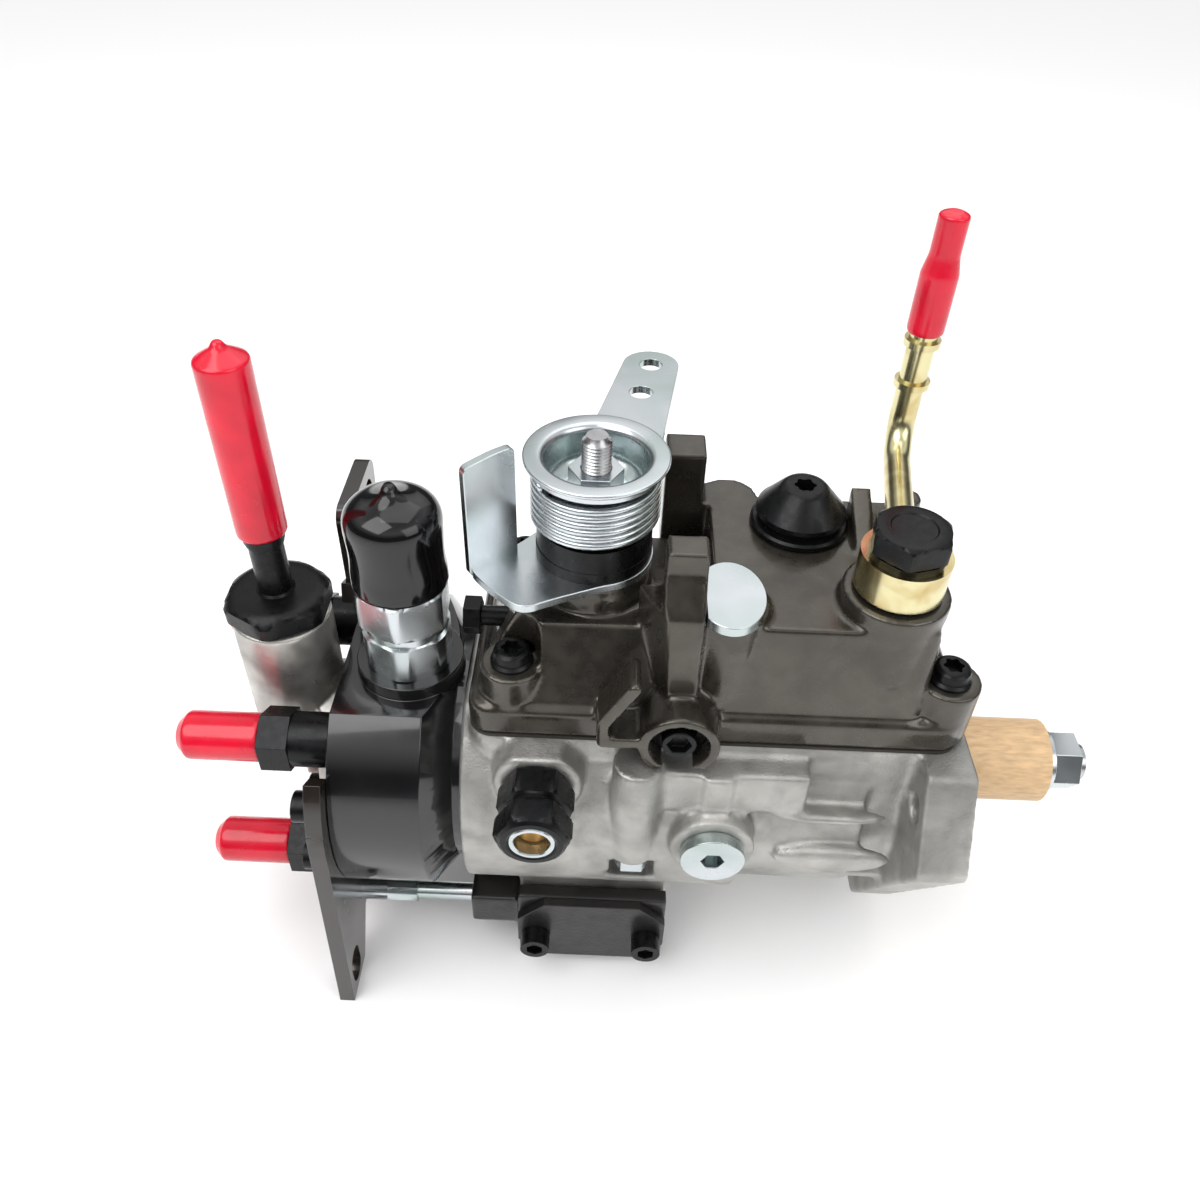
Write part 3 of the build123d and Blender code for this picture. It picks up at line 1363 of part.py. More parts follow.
def pipe_path():
    """Route of the pipe: back from the banjo, then up through one bend."""
    with BuildLine() as path:
        FilletPolyline((-banjo_x, -banjo_y, pipe_level), (-leak_pipe_x, leak_pipe_back, pipe_level),
                       (-leak_pipe_x, leak_pipe_back, leak_pipe_top), radius=leak_pipe_bend)
    return path.line


with BuildPart() as leak_off_pipe:
    route = pipe_path()
    with BuildSketch(Plane(origin=route @ 0, z_dir=route % 0)) as pipe_section:
        Circle(leak_pipe_radius)
    sweep(pipe_section.sketch, path=route)
    rod_z(ring_bottom, ring_top, banjo_ring_radius, *banjo_centre)
    for level in leak_bead_levels:
        rod_z(level, level + leak_bead_height, leak_bead_radius, -leak_pipe_x, leak_pipe_back)
    rod_z(ring_bottom - overrun, ring_top + overrun, banjo_ring_inner, *banjo_centre,
          mode=Mode.SUBTRACT)
    rod_z(leak_bead_levels[0], leak_pipe_top + overrun, leak_pipe_radius - leak_pipe_wall,
          -leak_pipe_x, leak_pipe_back, mode=Mode.SUBTRACT)
save(leak_off_pipe, "leak_off_pipe")

with BuildPart() as banjo_bolt:
    rod_z(banjo_boss_top - banjo_bolt_depth, head_bottom, banjo_bolt_radius, *banjo_centre)
    hex_z(head_bottom, head_bottom + banjo_bolt_head, banjo_bolt_flats, *banjo_centre)
    # The two copper washers above and below the ring are solids of their own
    for level in (banjo_boss_top, ring_top):
        with BuildSketch(Plane.XY.offset(level)) as washer_face:
            with Locations(banjo_centre):
                Circle(banjo_washer_radius)
                Circle(banjo_bolt_radius + running_clearance, mode=Mode.SUBTRACT)
        extrude(washer_face.sketch, amount=banjo_washer_thickness)
save(banjo_bolt, "banjo_bolt")

with BuildPart() as leak_off_cap:
    inner = leak_pipe_radius + soft_gap
    turned_z([(inner, leak_cap_bottom), (leak_cap_radius, leak_cap_bottom),
              (leak_cap_radius, leak_cap_step), (leak_cap_step_radius, leak_cap_step + leak_cap_radius),
              (leak_cap_step_radius, leak_cap_top - leak_cap_wall), (leak_cap_step_radius / 2, leak_cap_top),
              (0, leak_cap_top), (0, leak_pipe_top + soft_gap), (inner, leak_pipe_top + soft_gap)],
             -leak_pipe_x, leak_pipe_back)
save(leak_off_cap, "leak_off_cap")


# Throttle shaft with its stop plate and collar, and the sprung lever above them
with BuildPart() as throttle_shaft:
    rod_z(throttle_shaft_bottom, cup_rim_level + stud_tip, throttle_shaft_radius, *throttle_centre)
    rod_z(throttle_shaft_bottom, throttle_shaft_bottom + throttle_crank_height,
          throttle_crank_radius, *throttle_centre)
    rod_z(throttle_shaft_bottom - throttle_pin_drop, throttle_shaft_bottom, throttle_pin_radius,
          -throttle_x + throttle_crank_radius - throttle_pin_radius, -throttle_y)
save(throttle_shaft, "throttle_shaft")

with BuildPart() as stop_plate:
    outer_edge = (-throttle_x - upright_outer_x, -throttle_y - upright_outer_y)
    inner_edge = (-throttle_x - upright_inner_x, -throttle_y + upright_inner_y)
    with BuildSketch(Plane.XY.offset(plate_level)) as plate_outline:
        with Locations(throttle_centre):
            Circle(stop_plate_radius)
        with BuildLine():
            Polyline((-throttle_x, -throttle_y - stop_plate_radius),
                     (-throttle_x - stop_lobe_x, -throttle_y - stop_lobe_y), outer_edge, inner_edge,
                     (-throttle_x, -throttle_y), close=True)
        make_face()
        with Locations(throttle_centre):
            Circle(throttle_shaft_radius + running_clearance, mode=Mode.SUBTRACT)
    extrude(plate_outline.sketch, amount=stop_plate_thickness)
    # The upright is folded from the plate's far edge
    along = hypot(inner_edge[0] - outer_edge[0], inner_edge[1] - outer_edge[1])
    turn = ((inner_edge[0] - outer_edge[0]) / along, (inner_edge[1] - outer_edge[1]) / along, 0)
    upright_plane = Plane(origin=(*outer_edge, plate_level), x_dir=turn, z_dir=(turn[1], -turn[0], 0))
    with BuildSketch(upright_plane) as upright_face:
        with BuildLine():
            Polyline((0, 0), (0, upright_low_top - plate_level), (along, upright_top - plate_level),
                     (along, 0), close=True)
        make_face()
    extrude(upright_face.sketch, amount=stop_plate_thickness)
save(stop_plate, "stop_plate")

hub_top = cup_floor - seat_gap

with BuildPart() as throttle_collar:
    turned_z([(throttle_shaft_radius + running_clearance, washer_level),
              (throttle_washer_radius, washer_level), (throttle_washer_radius, collar_level),
              (collar_radius, collar_level), (collar_radius, collar_level + collar_height),
              (hub_radius, collar_level + collar_height), (hub_radius, hub_top),
              (throttle_shaft_radius + running_clearance, hub_top)], *throttle_centre)
save(throttle_collar, "throttle_collar")

with BuildPart() as throttle_cup:
    bore = throttle_shaft_radius + running_clearance
    turned_z([(bore, cup_floor), (cup_floor_radius, cup_floor), (cup_radius, cup_floor + cup_cone),
              (cup_radius, cup_rim_level), (cup_rim_radius, cup_rim_level),
              (cup_rim_radius, cup_rim_level + cup_rim_height),
              (cup_radius - cup_wall, cup_rim_level + cup_rim_height),
              (cup_radius - cup_wall, cup_floor + cup_cone + cup_wall / 2),
              (cup_floor_radius, cup_floor + cup_wall), (bore, cup_floor + cup_wall)],
             *throttle_centre)
save(throttle_cup, "throttle_cup")

with BuildPart() as throttle_nut:
    nut_level = cup_floor + cup_wall + seat_gap
    hex_z(nut_level, nut_level + nyloc_height, nyloc_flats, *throttle_centre)
    rod_z(nut_level - overrun, nut_level + nyloc_height + overrun,
          throttle_shaft_radius + running_clearance, *throttle_centre, mode=Mode.SUBTRACT)
save(throttle_nut, "throttle_nut")

with BuildPart() as throttle_lever:
    def on_arm(distance):
        along_x, along_y = polar(distance, lever_angle)
        right_x, right_y = polar(lever_offset, lever_angle - quarter_turn)
        return -throttle_x + along_x + right_x, -throttle_y + along_y + right_y

    with BuildSketch(Plane.XY.offset(lever_level)) as lever_outline:
        with Locations(throttle_centre):
            Circle(lever_ring_radius)
        side_x, side_y = polar(1, lever_angle + quarter_turn)
        root_x, root_y = on_arm(0)
        tip_x, tip_y = on_arm(lever_hole_far)
        with BuildLine():
            Polyline((root_x + side_x * lever_root_width / 2, root_y + side_y * lever_root_width / 2),
                     (tip_x + side_x * lever_tip_radius, tip_y + side_y * lever_tip_radius),
                     (tip_x - side_x * lever_tip_radius, tip_y - side_y * lever_tip_radius),
                     (root_x - side_x * lever_root_width / 2, root_y - side_y * lever_root_width / 2),
                     close=True)
        make_face()
        with Locations(on_arm(lever_hole_far)):
            Circle(lever_tip_radius)
        with Locations(throttle_centre):
            Circle(cup_radius + running_clearance, mode=Mode.SUBTRACT)
        with Locations(on_arm(lever_hole_near), on_arm(lever_hole_far)):
            Circle(lever_hole_diameter / 2, mode=Mode.SUBTRACT)
    extrude(lever_outline.sketch, amount=lever_thickness)
save(throttle_lever, "throttle_lever")

with BuildPart() as throttle_spring:
    with BuildSketch(Plane(origin=(*throttle_centre, 0), x_dir=(1, 0, 0), z_dir=(0, -1, 0))) as coil_section:
        with BuildLine():
            inner = spring_mean_radius - spring_wire / 2
            crests = [(inner, spring_level + spring_turns * spring_pitch), (inner, spring_level)]
            for turn_number in range(spring_turns):
                level = spring_level + turn_number * spring_pitch
                crests.append((spring_mean_radius, level))
                crests.append((spring_mean_radius + spring_wire / 2, level + spring_pitch / 2))
            crests.append((spring_mean_radius, spring_level + spring_turns * spring_pitch))
            Polyline(*crests, close=True)
        make_face()
    revolve(coil_section.sketch, axis=Axis((*throttle_centre, 0), (0, 0, 1)))
save(throttle_spring, "throttle_spring")

with BuildPart() as stop_screws:
    # The idle screw stands in the left end of the cover, the speed screw in the rear block
    shank_end = -cover_left_end + cover_wall + cover_corner_radius - overrun
    rod_x(-idle_screw_x, shank_end, idle_screw_radius, -idle_screw_y, idle_screw_z)
    hex_x(-idle_screw_x, -idle_screw_x + idle_screw_head, idle_screw_flats, -idle_screw_y, idle_screw_z)
    speed_left = -speed_block_x - speed_block_size / 2 - speed_screw_length / 2
    rod_x(speed_left, speed_left + speed_screw_length, idle_screw_radius, speed_block_y, speed_level)
    hex_x(speed_left, speed_left + idle_screw_head, idle_screw_flats, speed_block_y, speed_level)
save(stop_screws, "stop_screws")


# Timing advance unit under the housing
advance_left = -advance_x - advance_half_length
cover_face = advance_body_half_width + advance_cover_thickness
advance_screw_places = [-advance_x + side * advance_screw_spacing / 2 for side in (-1, 1)]

with BuildPart() as advance_housing:
    with BuildSketch(Plane.YZ.offset(advance_left)) as body_profile:
        with BuildLine():
            Polyline((-advance_body_half_width, -floor_depth), (advance_body_half_width, -floor_depth),
                     (advance_body_half_width, -advance_plate_top),
                     (advance_body_half_width - advance_flange_thickness, -advance_plate_top),
                     (advance_body_half_width - advance_flange_thickness, -advance_pad_depth),
                     (-advance_body_half_width + advance_flange_thickness, -advance_pad_depth),
                     (-advance_body_half_width + advance_flange_thickness, -advance_plate_top),
                     (-advance_body_half_width, -advance_plate_top), close=True)
        make_face()
    extrude(body_profile.sketch, amount=2 * advance_half_length)
    # Fitting on the left that the support rod meets
    block((advance_fitting_left, advance_left),
          (-support_y - fitting_height / 2, -support_y + fitting_height / 2),
          (-support_z - fitting_height / 2, -support_z + fitting_height / 2))
    rod_y(-advance_body_half_width - overrun, advance_body_half_width + overrun,
          advance_bore_radius, -advance_x, -advance_z, mode=Mode.SUBTRACT)
    rod_z(-advance_z, 0, cam_screw_radius + advance_stroke + overrun, -advance_x, 0,
          mode=Mode.SUBTRACT)
    for x in advance_screw_places:
        for side in (-1, 1):
            span = sorted((side * (advance_body_half_width + overrun),
                           side * (advance_body_half_width - socket_screw_depth)))
            rod_y(*span, socket_screw_radius + screw_clearance, x, -advance_screw_level,
                  mode=Mode.SUBTRACT)
save(advance_housing, "advance_housing")

with BuildPart() as advance_covers:
    for side in (-1, 1):
        with BuildSketch(Plane.XZ.offset(side * advance_body_half_width)) as end_face:
            with Locations((-advance_x, -(advance_plate_top + advance_plate_bottom) / 2)):
                Rectangle(2 * advance_half_length, advance_plate_bottom - advance_plate_top)
            chamfer(end_face.vertices(), advance_plate_round)
            with Locations([(x, -advance_screw_level) for x in advance_screw_places]):
                Circle(socket_screw_radius + screw_clearance, mode=Mode.SUBTRACT)
        extrude(end_face.sketch, amount=side * advance_cover_thickness)
save(advance_covers, "advance_covers")


def socket_screw(place, direction):
    """Socket head screw whose head bears at a place and whose shank points along a direction."""
    seat = Plane(origin=place, z_dir=direction)
    with BuildSketch(seat) as shank:
        Circle(socket_screw_radius)
    with BuildSketch(seat) as head:
        Circle(socket_head_radius)
    with BuildSketch(seat.offset(-socket_head_height)) as socket:
        RegularPolygon(socket_flats / 2, hex_sides, major_radius=False)
    extrude(head.sketch, amount=-socket_head_height)
    extrude(socket.sketch, amount=recess_depth, mode=Mode.SUBTRACT)
    return shank


with BuildPart() as socket_screws:
    for angle in bracket_screw_angles:
        shank = socket_screw((bracket_rear, *polar(bracket_screw_circle, angle)), (1, 0, 0))
        extrude(shank.sketch, amount=bracket_thickness + socket_screw_depth - seat_gap)
    for angle in end_plate_screw_angles:
        shank = socket_screw((plate_face, *polar(end_plate_screw_circle, angle)), (1, 0, 0))
        extrude(shank.sketch, amount=end_plate_thickness + socket_screw_depth - seat_gap)
    for x in advance_screw_places:
        for side in (-1, 1):
            shank = socket_screw((x, side * cover_face, -advance_screw_level), (0, -side, 0))
            extrude(shank.sketch, amount=advance_cover_thickness + socket_screw_depth - seat_gap)
save(socket_screws, "socket_screws")

with BuildPart() as advance_piston:
    rod_y(-advance_piston_half_length, advance_piston_half_length,
          advance_bore_radius - running_clearance, -advance_x, -advance_z)
    rod_z(-advance_slot_floor, 0, cam_ball_radius + running_clearance, -advance_x, 0,
          mode=Mode.SUBTRACT)
save(advance_piston, "advance_piston")

with BuildPart() as advance_spring:
    spring_start = advance_piston_half_length + seat_gap
    spring_length = advance_body_half_width - seat_gap - spring_start
    coil_pitch = (spring_length - advance_spring_wire) / advance_spring_turns
    coil = Helix(pitch=coil_pitch, height=coil_pitch * advance_spring_turns, radius=advance_spring_radius,
                 center=(-advance_x, spring_start + advance_spring_wire / 2, -advance_z),
                 direction=(0, 1, 0), mode=Mode.PRIVATE)
    with BuildSketch(Plane(origin=coil @ 0, z_dir=coil % 0)) as wire_section:
        RegularPolygon(advance_spring_wire / 2, hex_sides)
    sweep(wire_section.sketch, path=coil)
save(advance_spring, "advance_spring")


# Fittings on the front of the housing
with BuildPart() as side_adaptor:
    adaptor_end = -adaptor_boss_face - adaptor_length
    hex_y(adaptor_end + adaptor_cone, -adaptor_boss_face, adaptor_flats, -adaptor_x, adaptor_z)
    rod_y(adaptor_end, adaptor_end + adaptor_cone, adaptor_flats / 2, -adaptor_x, adaptor_z)
    rod_y(-adaptor_boss_face, -adaptor_seat - seat_gap, adaptor_thread_radius - running_clearance,
          -adaptor_x, adaptor_z)
    rod_y(adaptor_end - overrun, adaptor_end + adaptor_bore_depth, adaptor_ring_radius,
          -adaptor_x, adaptor_z, mode=Mode.SUBTRACT)
    # Steel ring in the mouth of the adaptor, a solid of its own
    with BuildSketch(Plane.XZ.offset(-adaptor_end - adaptor_bore_depth)) as ring_face:
        with Locations((-adaptor_x, adaptor_z)):
            Circle(adaptor_ring_radius - running_clearance)
            Circle(adaptor_ring_radius - adaptor_ring_wall, mode=Mode.SUBTRACT)
    extrude(ring_face.sketch, amount=adaptor_bore_depth - seat_gap)
save(side_adaptor, "side_adaptor")

with BuildPart() as timing_plug:
    rod_y(-plug_face - plug_thickness, -plug_face, plug_radius, -plug_x, plug_z)
    rod_y(-plug_face, -plug_face + plug_thread_length - seat_gap, plug_thread_radius - running_clearance,
          -plug_x, plug_z)
    hex_y(-plug_face - plug_thickness - overrun, -plug_face + plug_thickness / 2, plug_hex_flats,
          -plug_x, plug_z, mode=Mode.SUBTRACT)
save(timing_plug, "timing_plug")

with BuildPart() as gallery_plug:
    hex_z(gallery_bottom - gallery_plug_height, gallery_bottom, gallery_plug_flats,
          -gallery_x, -gallery_y)
    rod_z(gallery_bottom, gallery_bottom + gallery_thread_length - seat_gap,
          gallery_thread_radius - running_clearance, -gallery_x, -gallery_y)
save(gallery_plug, "gallery_plug")
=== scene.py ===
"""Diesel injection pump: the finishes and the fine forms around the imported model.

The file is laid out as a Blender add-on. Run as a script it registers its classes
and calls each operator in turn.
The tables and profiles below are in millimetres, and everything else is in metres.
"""

import json
from math import cos, pi, radians, sin, sqrt, tau

import bmesh
import bpy
from mathutils import Matrix, Vector, noise

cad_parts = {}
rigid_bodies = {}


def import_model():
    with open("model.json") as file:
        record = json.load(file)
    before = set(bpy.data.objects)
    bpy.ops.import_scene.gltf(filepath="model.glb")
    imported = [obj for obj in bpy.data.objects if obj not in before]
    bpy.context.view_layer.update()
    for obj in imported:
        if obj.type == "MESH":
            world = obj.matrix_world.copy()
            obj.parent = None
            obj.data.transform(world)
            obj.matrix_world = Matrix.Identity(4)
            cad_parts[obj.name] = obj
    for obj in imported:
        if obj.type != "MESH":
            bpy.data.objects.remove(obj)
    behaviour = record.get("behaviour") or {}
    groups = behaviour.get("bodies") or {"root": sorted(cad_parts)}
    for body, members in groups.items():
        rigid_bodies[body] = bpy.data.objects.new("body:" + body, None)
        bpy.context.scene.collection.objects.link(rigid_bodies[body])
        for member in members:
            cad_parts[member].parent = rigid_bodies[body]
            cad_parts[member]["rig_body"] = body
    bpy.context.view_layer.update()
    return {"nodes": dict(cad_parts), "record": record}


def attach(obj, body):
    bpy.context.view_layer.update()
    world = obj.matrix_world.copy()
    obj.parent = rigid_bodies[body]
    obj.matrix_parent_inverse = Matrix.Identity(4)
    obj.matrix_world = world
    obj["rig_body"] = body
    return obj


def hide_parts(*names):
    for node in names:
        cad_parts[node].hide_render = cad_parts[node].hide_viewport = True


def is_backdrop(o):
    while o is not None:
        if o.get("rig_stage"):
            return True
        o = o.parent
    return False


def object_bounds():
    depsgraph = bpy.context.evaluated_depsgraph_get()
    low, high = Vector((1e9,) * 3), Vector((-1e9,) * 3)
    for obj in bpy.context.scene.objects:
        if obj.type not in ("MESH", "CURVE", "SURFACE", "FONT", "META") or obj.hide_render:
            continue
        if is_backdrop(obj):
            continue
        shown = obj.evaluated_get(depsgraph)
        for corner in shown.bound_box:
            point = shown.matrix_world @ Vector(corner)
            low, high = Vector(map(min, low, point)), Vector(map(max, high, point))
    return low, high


bl_info = {
    "name": "Diesel Injection Pump",
    "version": (1, 0, 0),
    "blender": (4, 5, 0),
    "location": "3D View > Sidebar > Pump",
    "description": "Builds the finishes and fine forms of a rotary diesel injection pump",
    "category": "Add Mesh",
}

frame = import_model()
MM = 0.001

# Material slot of every CAD node, which picks the finish of the node and of its replacement
SLOT_OF = {entry["node"]: entry["material_slot"] for entry in frame["record"]["subparts"]}


class PumpSizes(bpy.types.PropertyGroup):
    """Sizes of the forms that are made here."""

    edge_round: bpy.props.FloatProperty(
        name="Machined edge", description="Width of the broken edge on machined pieces",
        default=0.35 * MM, unit="LENGTH")
    sheet_edge_round: bpy.props.FloatProperty(
        name="Sheet edge", description="Width of the rounded edge on pressed sheet pieces",
        default=0.3 * MM, unit="LENGTH")
    cast_voxel: bpy.props.FloatProperty(
        name="Casting cell", description="Cell size that rounds the edges of the castings",
        default=0.95 * MM, unit="LENGTH")
    spring_wire: bpy.props.FloatProperty(
        name="Spring wire", description="Diameter of the throttle spring's wire",
        default=2.1 * MM, unit="LENGTH")
    spring_turns: bpy.props.FloatProperty(
        name="Spring turns", description="Number of turns of the throttle spring", default=6.6)
    sheet_thickness: bpy.props.FloatProperty(
        name="Pressed sheet", description="Thickness of the pressed spring cup",
        default=1.3 * MM, unit="LENGTH")
    thread_pitch: bpy.props.FloatProperty(
        name="Thread pitch", description="Pitch of the thread on the throttle shaft's tip",
        default=1.0 * MM, unit="LENGTH")
    vinyl_cell: bpy.props.FloatProperty(
        name="Vinyl cell", description="Cell size that rounds the dipped vinyl caps",
        default=0.5 * MM, unit="LENGTH")
    vinyl_wall: bpy.props.FloatProperty(
        name="Vinyl wall", description="Wall of the solenoid's cap", default=1.6 * MM, unit="LENGTH")
    plate_thickness: bpy.props.FloatProperty(
        name="Stop plate", description="Thickness of the throttle's stop plate",
        default=2.5 * MM, unit="LENGTH")
    wrinkle_depth: bpy.props.FloatProperty(
        name="Wrinkle depth", description="Depth of the wrinkles in the solenoid's cap",
        default=0.55 * MM, unit="LENGTH")
    star_depth: bpy.props.FloatProperty(
        name="Star recess depth", description="Depth of the star recess in the cover screws",
        default=2.5 * MM, unit="LENGTH")
    banjo_flats: bpy.props.FloatProperty(
        name="Banjo bolt", description="Width across the flats of the banjo bolt's head",
        default=19.0 * MM, unit="LENGTH")
    adaptor_flats: bpy.props.FloatProperty(
        name="Side adaptor", description="Width across the flats of the side adaptor",
        default=19.0 * MM, unit="LENGTH")
    solenoid_flats: bpy.props.FloatProperty(
        name="Solenoid", description="Width across the flats of the stop solenoid",
        default=24.5 * MM, unit="LENGTH")
    inlet_flats: bpy.props.FloatProperty(
        name="Inlet nut", description="Width across the flats of the fuel inlet's nut",
        default=29.0 * MM, unit="LENGTH")


class PumpColours(bpy.types.PropertyGroup):
    """Colours of the finishes, as sRGB hex values."""

    cast_metal: bpy.props.StringProperty(
        name="Housing", description="Rough cast aluminium of the housing", default="ACABA7")
    cover_metal: bpy.props.StringProperty(
        name="Cover", description="Bronze-brown lacquered casting of the cover", default="48443D")
    inlet_metal: bpy.props.StringProperty(
        name="Inlet barrel", description="Die-cast barrel of the fuel inlet", default="B4B1AC")
    head_black: bpy.props.StringProperty(
        name="Head", description="Gloss black of the hydraulic head", default="0C0C0D")
    bracket_brown: bpy.props.StringProperty(
        name="Bracket", description="Bronze-black lacquer of the rear bracket", default="1E1813")
    zinc: bpy.props.StringProperty(
        name="Zinc", description="Bright zinc plate", default="C9CED1")
    zinc_cloud: bpy.props.StringProperty(
        name="Zinc clouds", description="Slow greenish clouds in the zinc plate", default="B4C0BE")
    yellow_zinc: bpy.props.StringProperty(
        name="Yellow zinc", description="Yellow passivated zinc plate", default="D8D0A4")
    yellow_cloud: bpy.props.StringProperty(
        name="Yellow clouds", description="Deeper clouds in the yellow zinc plate", default="C0AB78")
    black_steel: bpy.props.StringProperty(
        name="Black steel", description="Black oxide on steel", default="141516")
    bare_steel: bpy.props.StringProperty(
        name="Bare steel", description="Ground steel", default="B9BABB")
    black_iron: bpy.props.StringProperty(
        name="Black iron", description="Rough black cast iron", default="1B1A19")
    red_vinyl: bpy.props.StringProperty(
        name="Red vinyl", description="Dipped red vinyl of the transit caps", default="CB082A")
    black_vinyl: bpy.props.StringProperty(
        name="Black vinyl", description="Dipped black vinyl of the solenoid cap", default="0A0A0B")
    bronze: bpy.props.StringProperty(
        name="Bronze", description="Bearing bronze", default="B98A4E")
    rubber: bpy.props.StringProperty(
        name="Rubber", description="Seal rubber", default="161616")
    gasket: bpy.props.StringProperty(
        name="Gasket", description="Gasket sheet", default="2E2A24")
    card: bpy.props.StringProperty(
        name="Card", description="Brown card of the shaft's transit sleeve", default="C9A87F")
    paper: bpy.props.StringProperty(
        name="Floor", description="White paper under the pump", default="F4F4F4")


def hex_colour(text):
    """An sRGB hex value as the linear colour that shaders take."""
    channels = [int(text[place:place + 2], 16) / 255 for place in (0, 2, 4)]
    linear = [c / 12.92 if c <= 0.04045 else ((c + 0.055) / 1.055) ** 2.4 for c in channels]
    return (*linear, 1.0)


def shade(colour, factor):
    """The same colour, lighter or darker."""
    return (*[min(1.0, channel * factor) for channel in colour[:3]], 1.0)


# Materials
def add_node(tree, kind, settings=None, links=None):
    """Adds a node with its settings, and links its inputs from (node, output) pairs."""
    node = tree.nodes.new(kind)
    for key, value in (settings or {}).items():
        if isinstance(key, str) and hasattr(node, key):
            setattr(node, key, value)
        else:
            node.inputs[key].default_value = value
    for key, (source, output) in (links or {}).items():
        tree.links.new(source.outputs[output], node.inputs[key])
    return node


def surface(name, settings):
    """A new material with its shader's plain values set on the shader's own sockets."""
    material = bpy.data.materials.new(name)
    material.use_nodes = True
    tree = material.node_tree
    shader = tree.nodes["Principled BSDF"]
    for key, value in settings.items():
        shader.inputs[key].default_value = value
    return material, tree, shader


def grain(tree, size_mm, detail, distortion=0.0, stretch=(1, 1, 1)):
    """Noise with features of about size_mm, on Object coordinates."""
    place = add_node(tree, "ShaderNodeTexCoord")
    spread = add_node(tree, "ShaderNodeMapping", {"Scale": stretch}, {"Vector": (place, "Object")})
    return add_node(tree, "ShaderNodeTexNoise",
                    {"Scale": 1 / (size_mm * MM), "Detail": detail, "Distortion": distortion},
                    {"Vector": (spread, "Vector")})


def ramp(tree, source, stops, output="Fac"):
    """Colour ramp fed by a noise: stops are (place, colour) pairs."""
    node = add_node(tree, "ShaderNodeValToRGB", None, {"Fac": (source, output)})
    elements = node.color_ramp.elements
    while len(elements) < len(stops):
        elements.new(0.5)
    for element, (place, colour) in zip(elements, stops):
        element.position = place
        element.color = colour
    return node


def tinted(tree, shader, source, stops):
    """Colours the surface by a noise: stops are (place, colour) pairs."""
    tint = ramp(tree, source, stops)
    tree.links.new(tint.outputs["Color"], shader.inputs["Base Color"])


def rubbed(tree, shader, source, low, high):
    """Lets the roughness wander between two values with a noise."""
    wander = add_node(tree, "ShaderNodeMapRange",
                      {"From Min": 0.3, "From Max": 0.7, "To Min": low, "To Max": high},
                      {"Value": (source, "Fac")})
    tree.links.new(wander.outputs["Result"], shader.inputs["Roughness"])


def bump(tree, shader, source, depth_mm, strength, under=None):
    """Raises the surface by depth_mm where the source is bright."""
    links = {"Height": (source, "Fac")}
    if under is not None:
        links["Normal"] = (under, "Normal")
    node = add_node(tree, "ShaderNodeBump", {"Strength": strength, "Distance": depth_mm * MM}, links)
    tree.links.new(node.outputs["Normal"], shader.inputs["Normal"])
    return node


def cast_finish(name, colour, rough, grit_mm, depth_mm, metallic=0.85, coat=0.0):
    """Sand or die casting: the grit of the mould, blotches of oxide, slow waves of the skin."""
    material, tree, shader = surface(name, {
        "Metallic": metallic, "Coat Weight": coat, "Coat Roughness": 0.12})
    tinted(tree, shader, grain(tree, size_mm=16.0, detail=4.0, distortion=0.6),
           [(0.30, shade(colour, 0.72)), (0.52, colour), (0.75, shade(colour, 1.22))])
    rubbed(tree, shader, grain(tree, size_mm=5.0, detail=3.0), rough - 0.10, rough + 0.12)
    skin = bump(tree, shader, grain(tree, size_mm=9.0, detail=2.0), depth_mm * 2.2, strength=0.5)
    bump(tree, shader, grain(tree, grit_mm, detail=4.0), depth_mm, strength=0.7, under=skin)
    return material


def lacquer_finish(name, colour, rough):
    """Gloss lacquer on turned or pressed steel: nearly flat, with slight orange peel."""
    material, tree, shader = surface(name, {
        "Base Color": colour, "Metallic": 0.0, "Coat Weight": 0.5, "Coat Roughness": 0.06,
        "Specular IOR Level": 0.5})
    rubbed(tree, shader, grain(tree, size_mm=14.0, detail=3.0), rough - 0.05, rough + 0.08)
    bump(tree, shader, grain(tree, size_mm=2.2, detail=2.0), depth_mm=0.012, strength=0.5)
    return material


def plated_finish(name, colour, other, rough, cloud_mm):
    """Zinc plate: bright metal whose passivation clouds slowly from one tint to another."""
    material, tree, shader = surface(name, {"Metallic": 1.0})
    tinted(tree, shader, grain(tree, cloud_mm, detail=2.0, distortion=0.4),
           [(0.30, other), (0.55, colour), (0.80, shade(colour, 1.06))])
    rubbed(tree, shader, grain(tree, size_mm=9.0, detail=2.0), rough - 0.03, rough + 0.04)
    bump(tree, shader, grain(tree, size_mm=6.0, detail=1.0), depth_mm=0.012, strength=0.3)
    return material


def steel_finish(name, colour, rough, metallic=1.0):
    """Machined metal, bare or blackened: fine turning marks and rubbed edges."""
    material, tree, shader = surface(name, {"Metallic": metallic})
    tinted(tree, shader, grain(tree, size_mm=6.0, detail=5.0, distortion=0.4),
           [(0.35, shade(colour, 0.8)), (0.6, colour), (0.85, shade(colour, 1.5))])
    rubbed(tree, shader, grain(tree, size_mm=2.0, detail=3.0), rough - 0.06, rough + 0.1)
    bump(tree, shader, grain(tree, size_mm=0.8, detail=3.0), depth_mm=0.012, strength=0.5)
    return material


def vinyl_finish(name, colour, rough, depth_mm):
    """Dipped vinyl: a soft thick skin with a wet gloss and slow ripples from the dip."""
    material, tree, shader = surface(name, {
        "Metallic": 0.0, "Coat Weight": 0.25, "Coat Roughness": 0.06,
        "Specular IOR Level": 0.4})
    tinted(tree, shader, grain(tree, size_mm=11.0, detail=2.0),
           [(0.3, shade(colour, 0.82)), (0.7, shade(colour, 1.1))])
    rubbed(tree, shader, grain(tree, size_mm=5.0, detail=2.0), rough - 0.05, rough + 0.08)
    bump(tree, shader, grain(tree, size_mm=12.0, detail=1.0), depth_mm, strength=0.6)
    return material


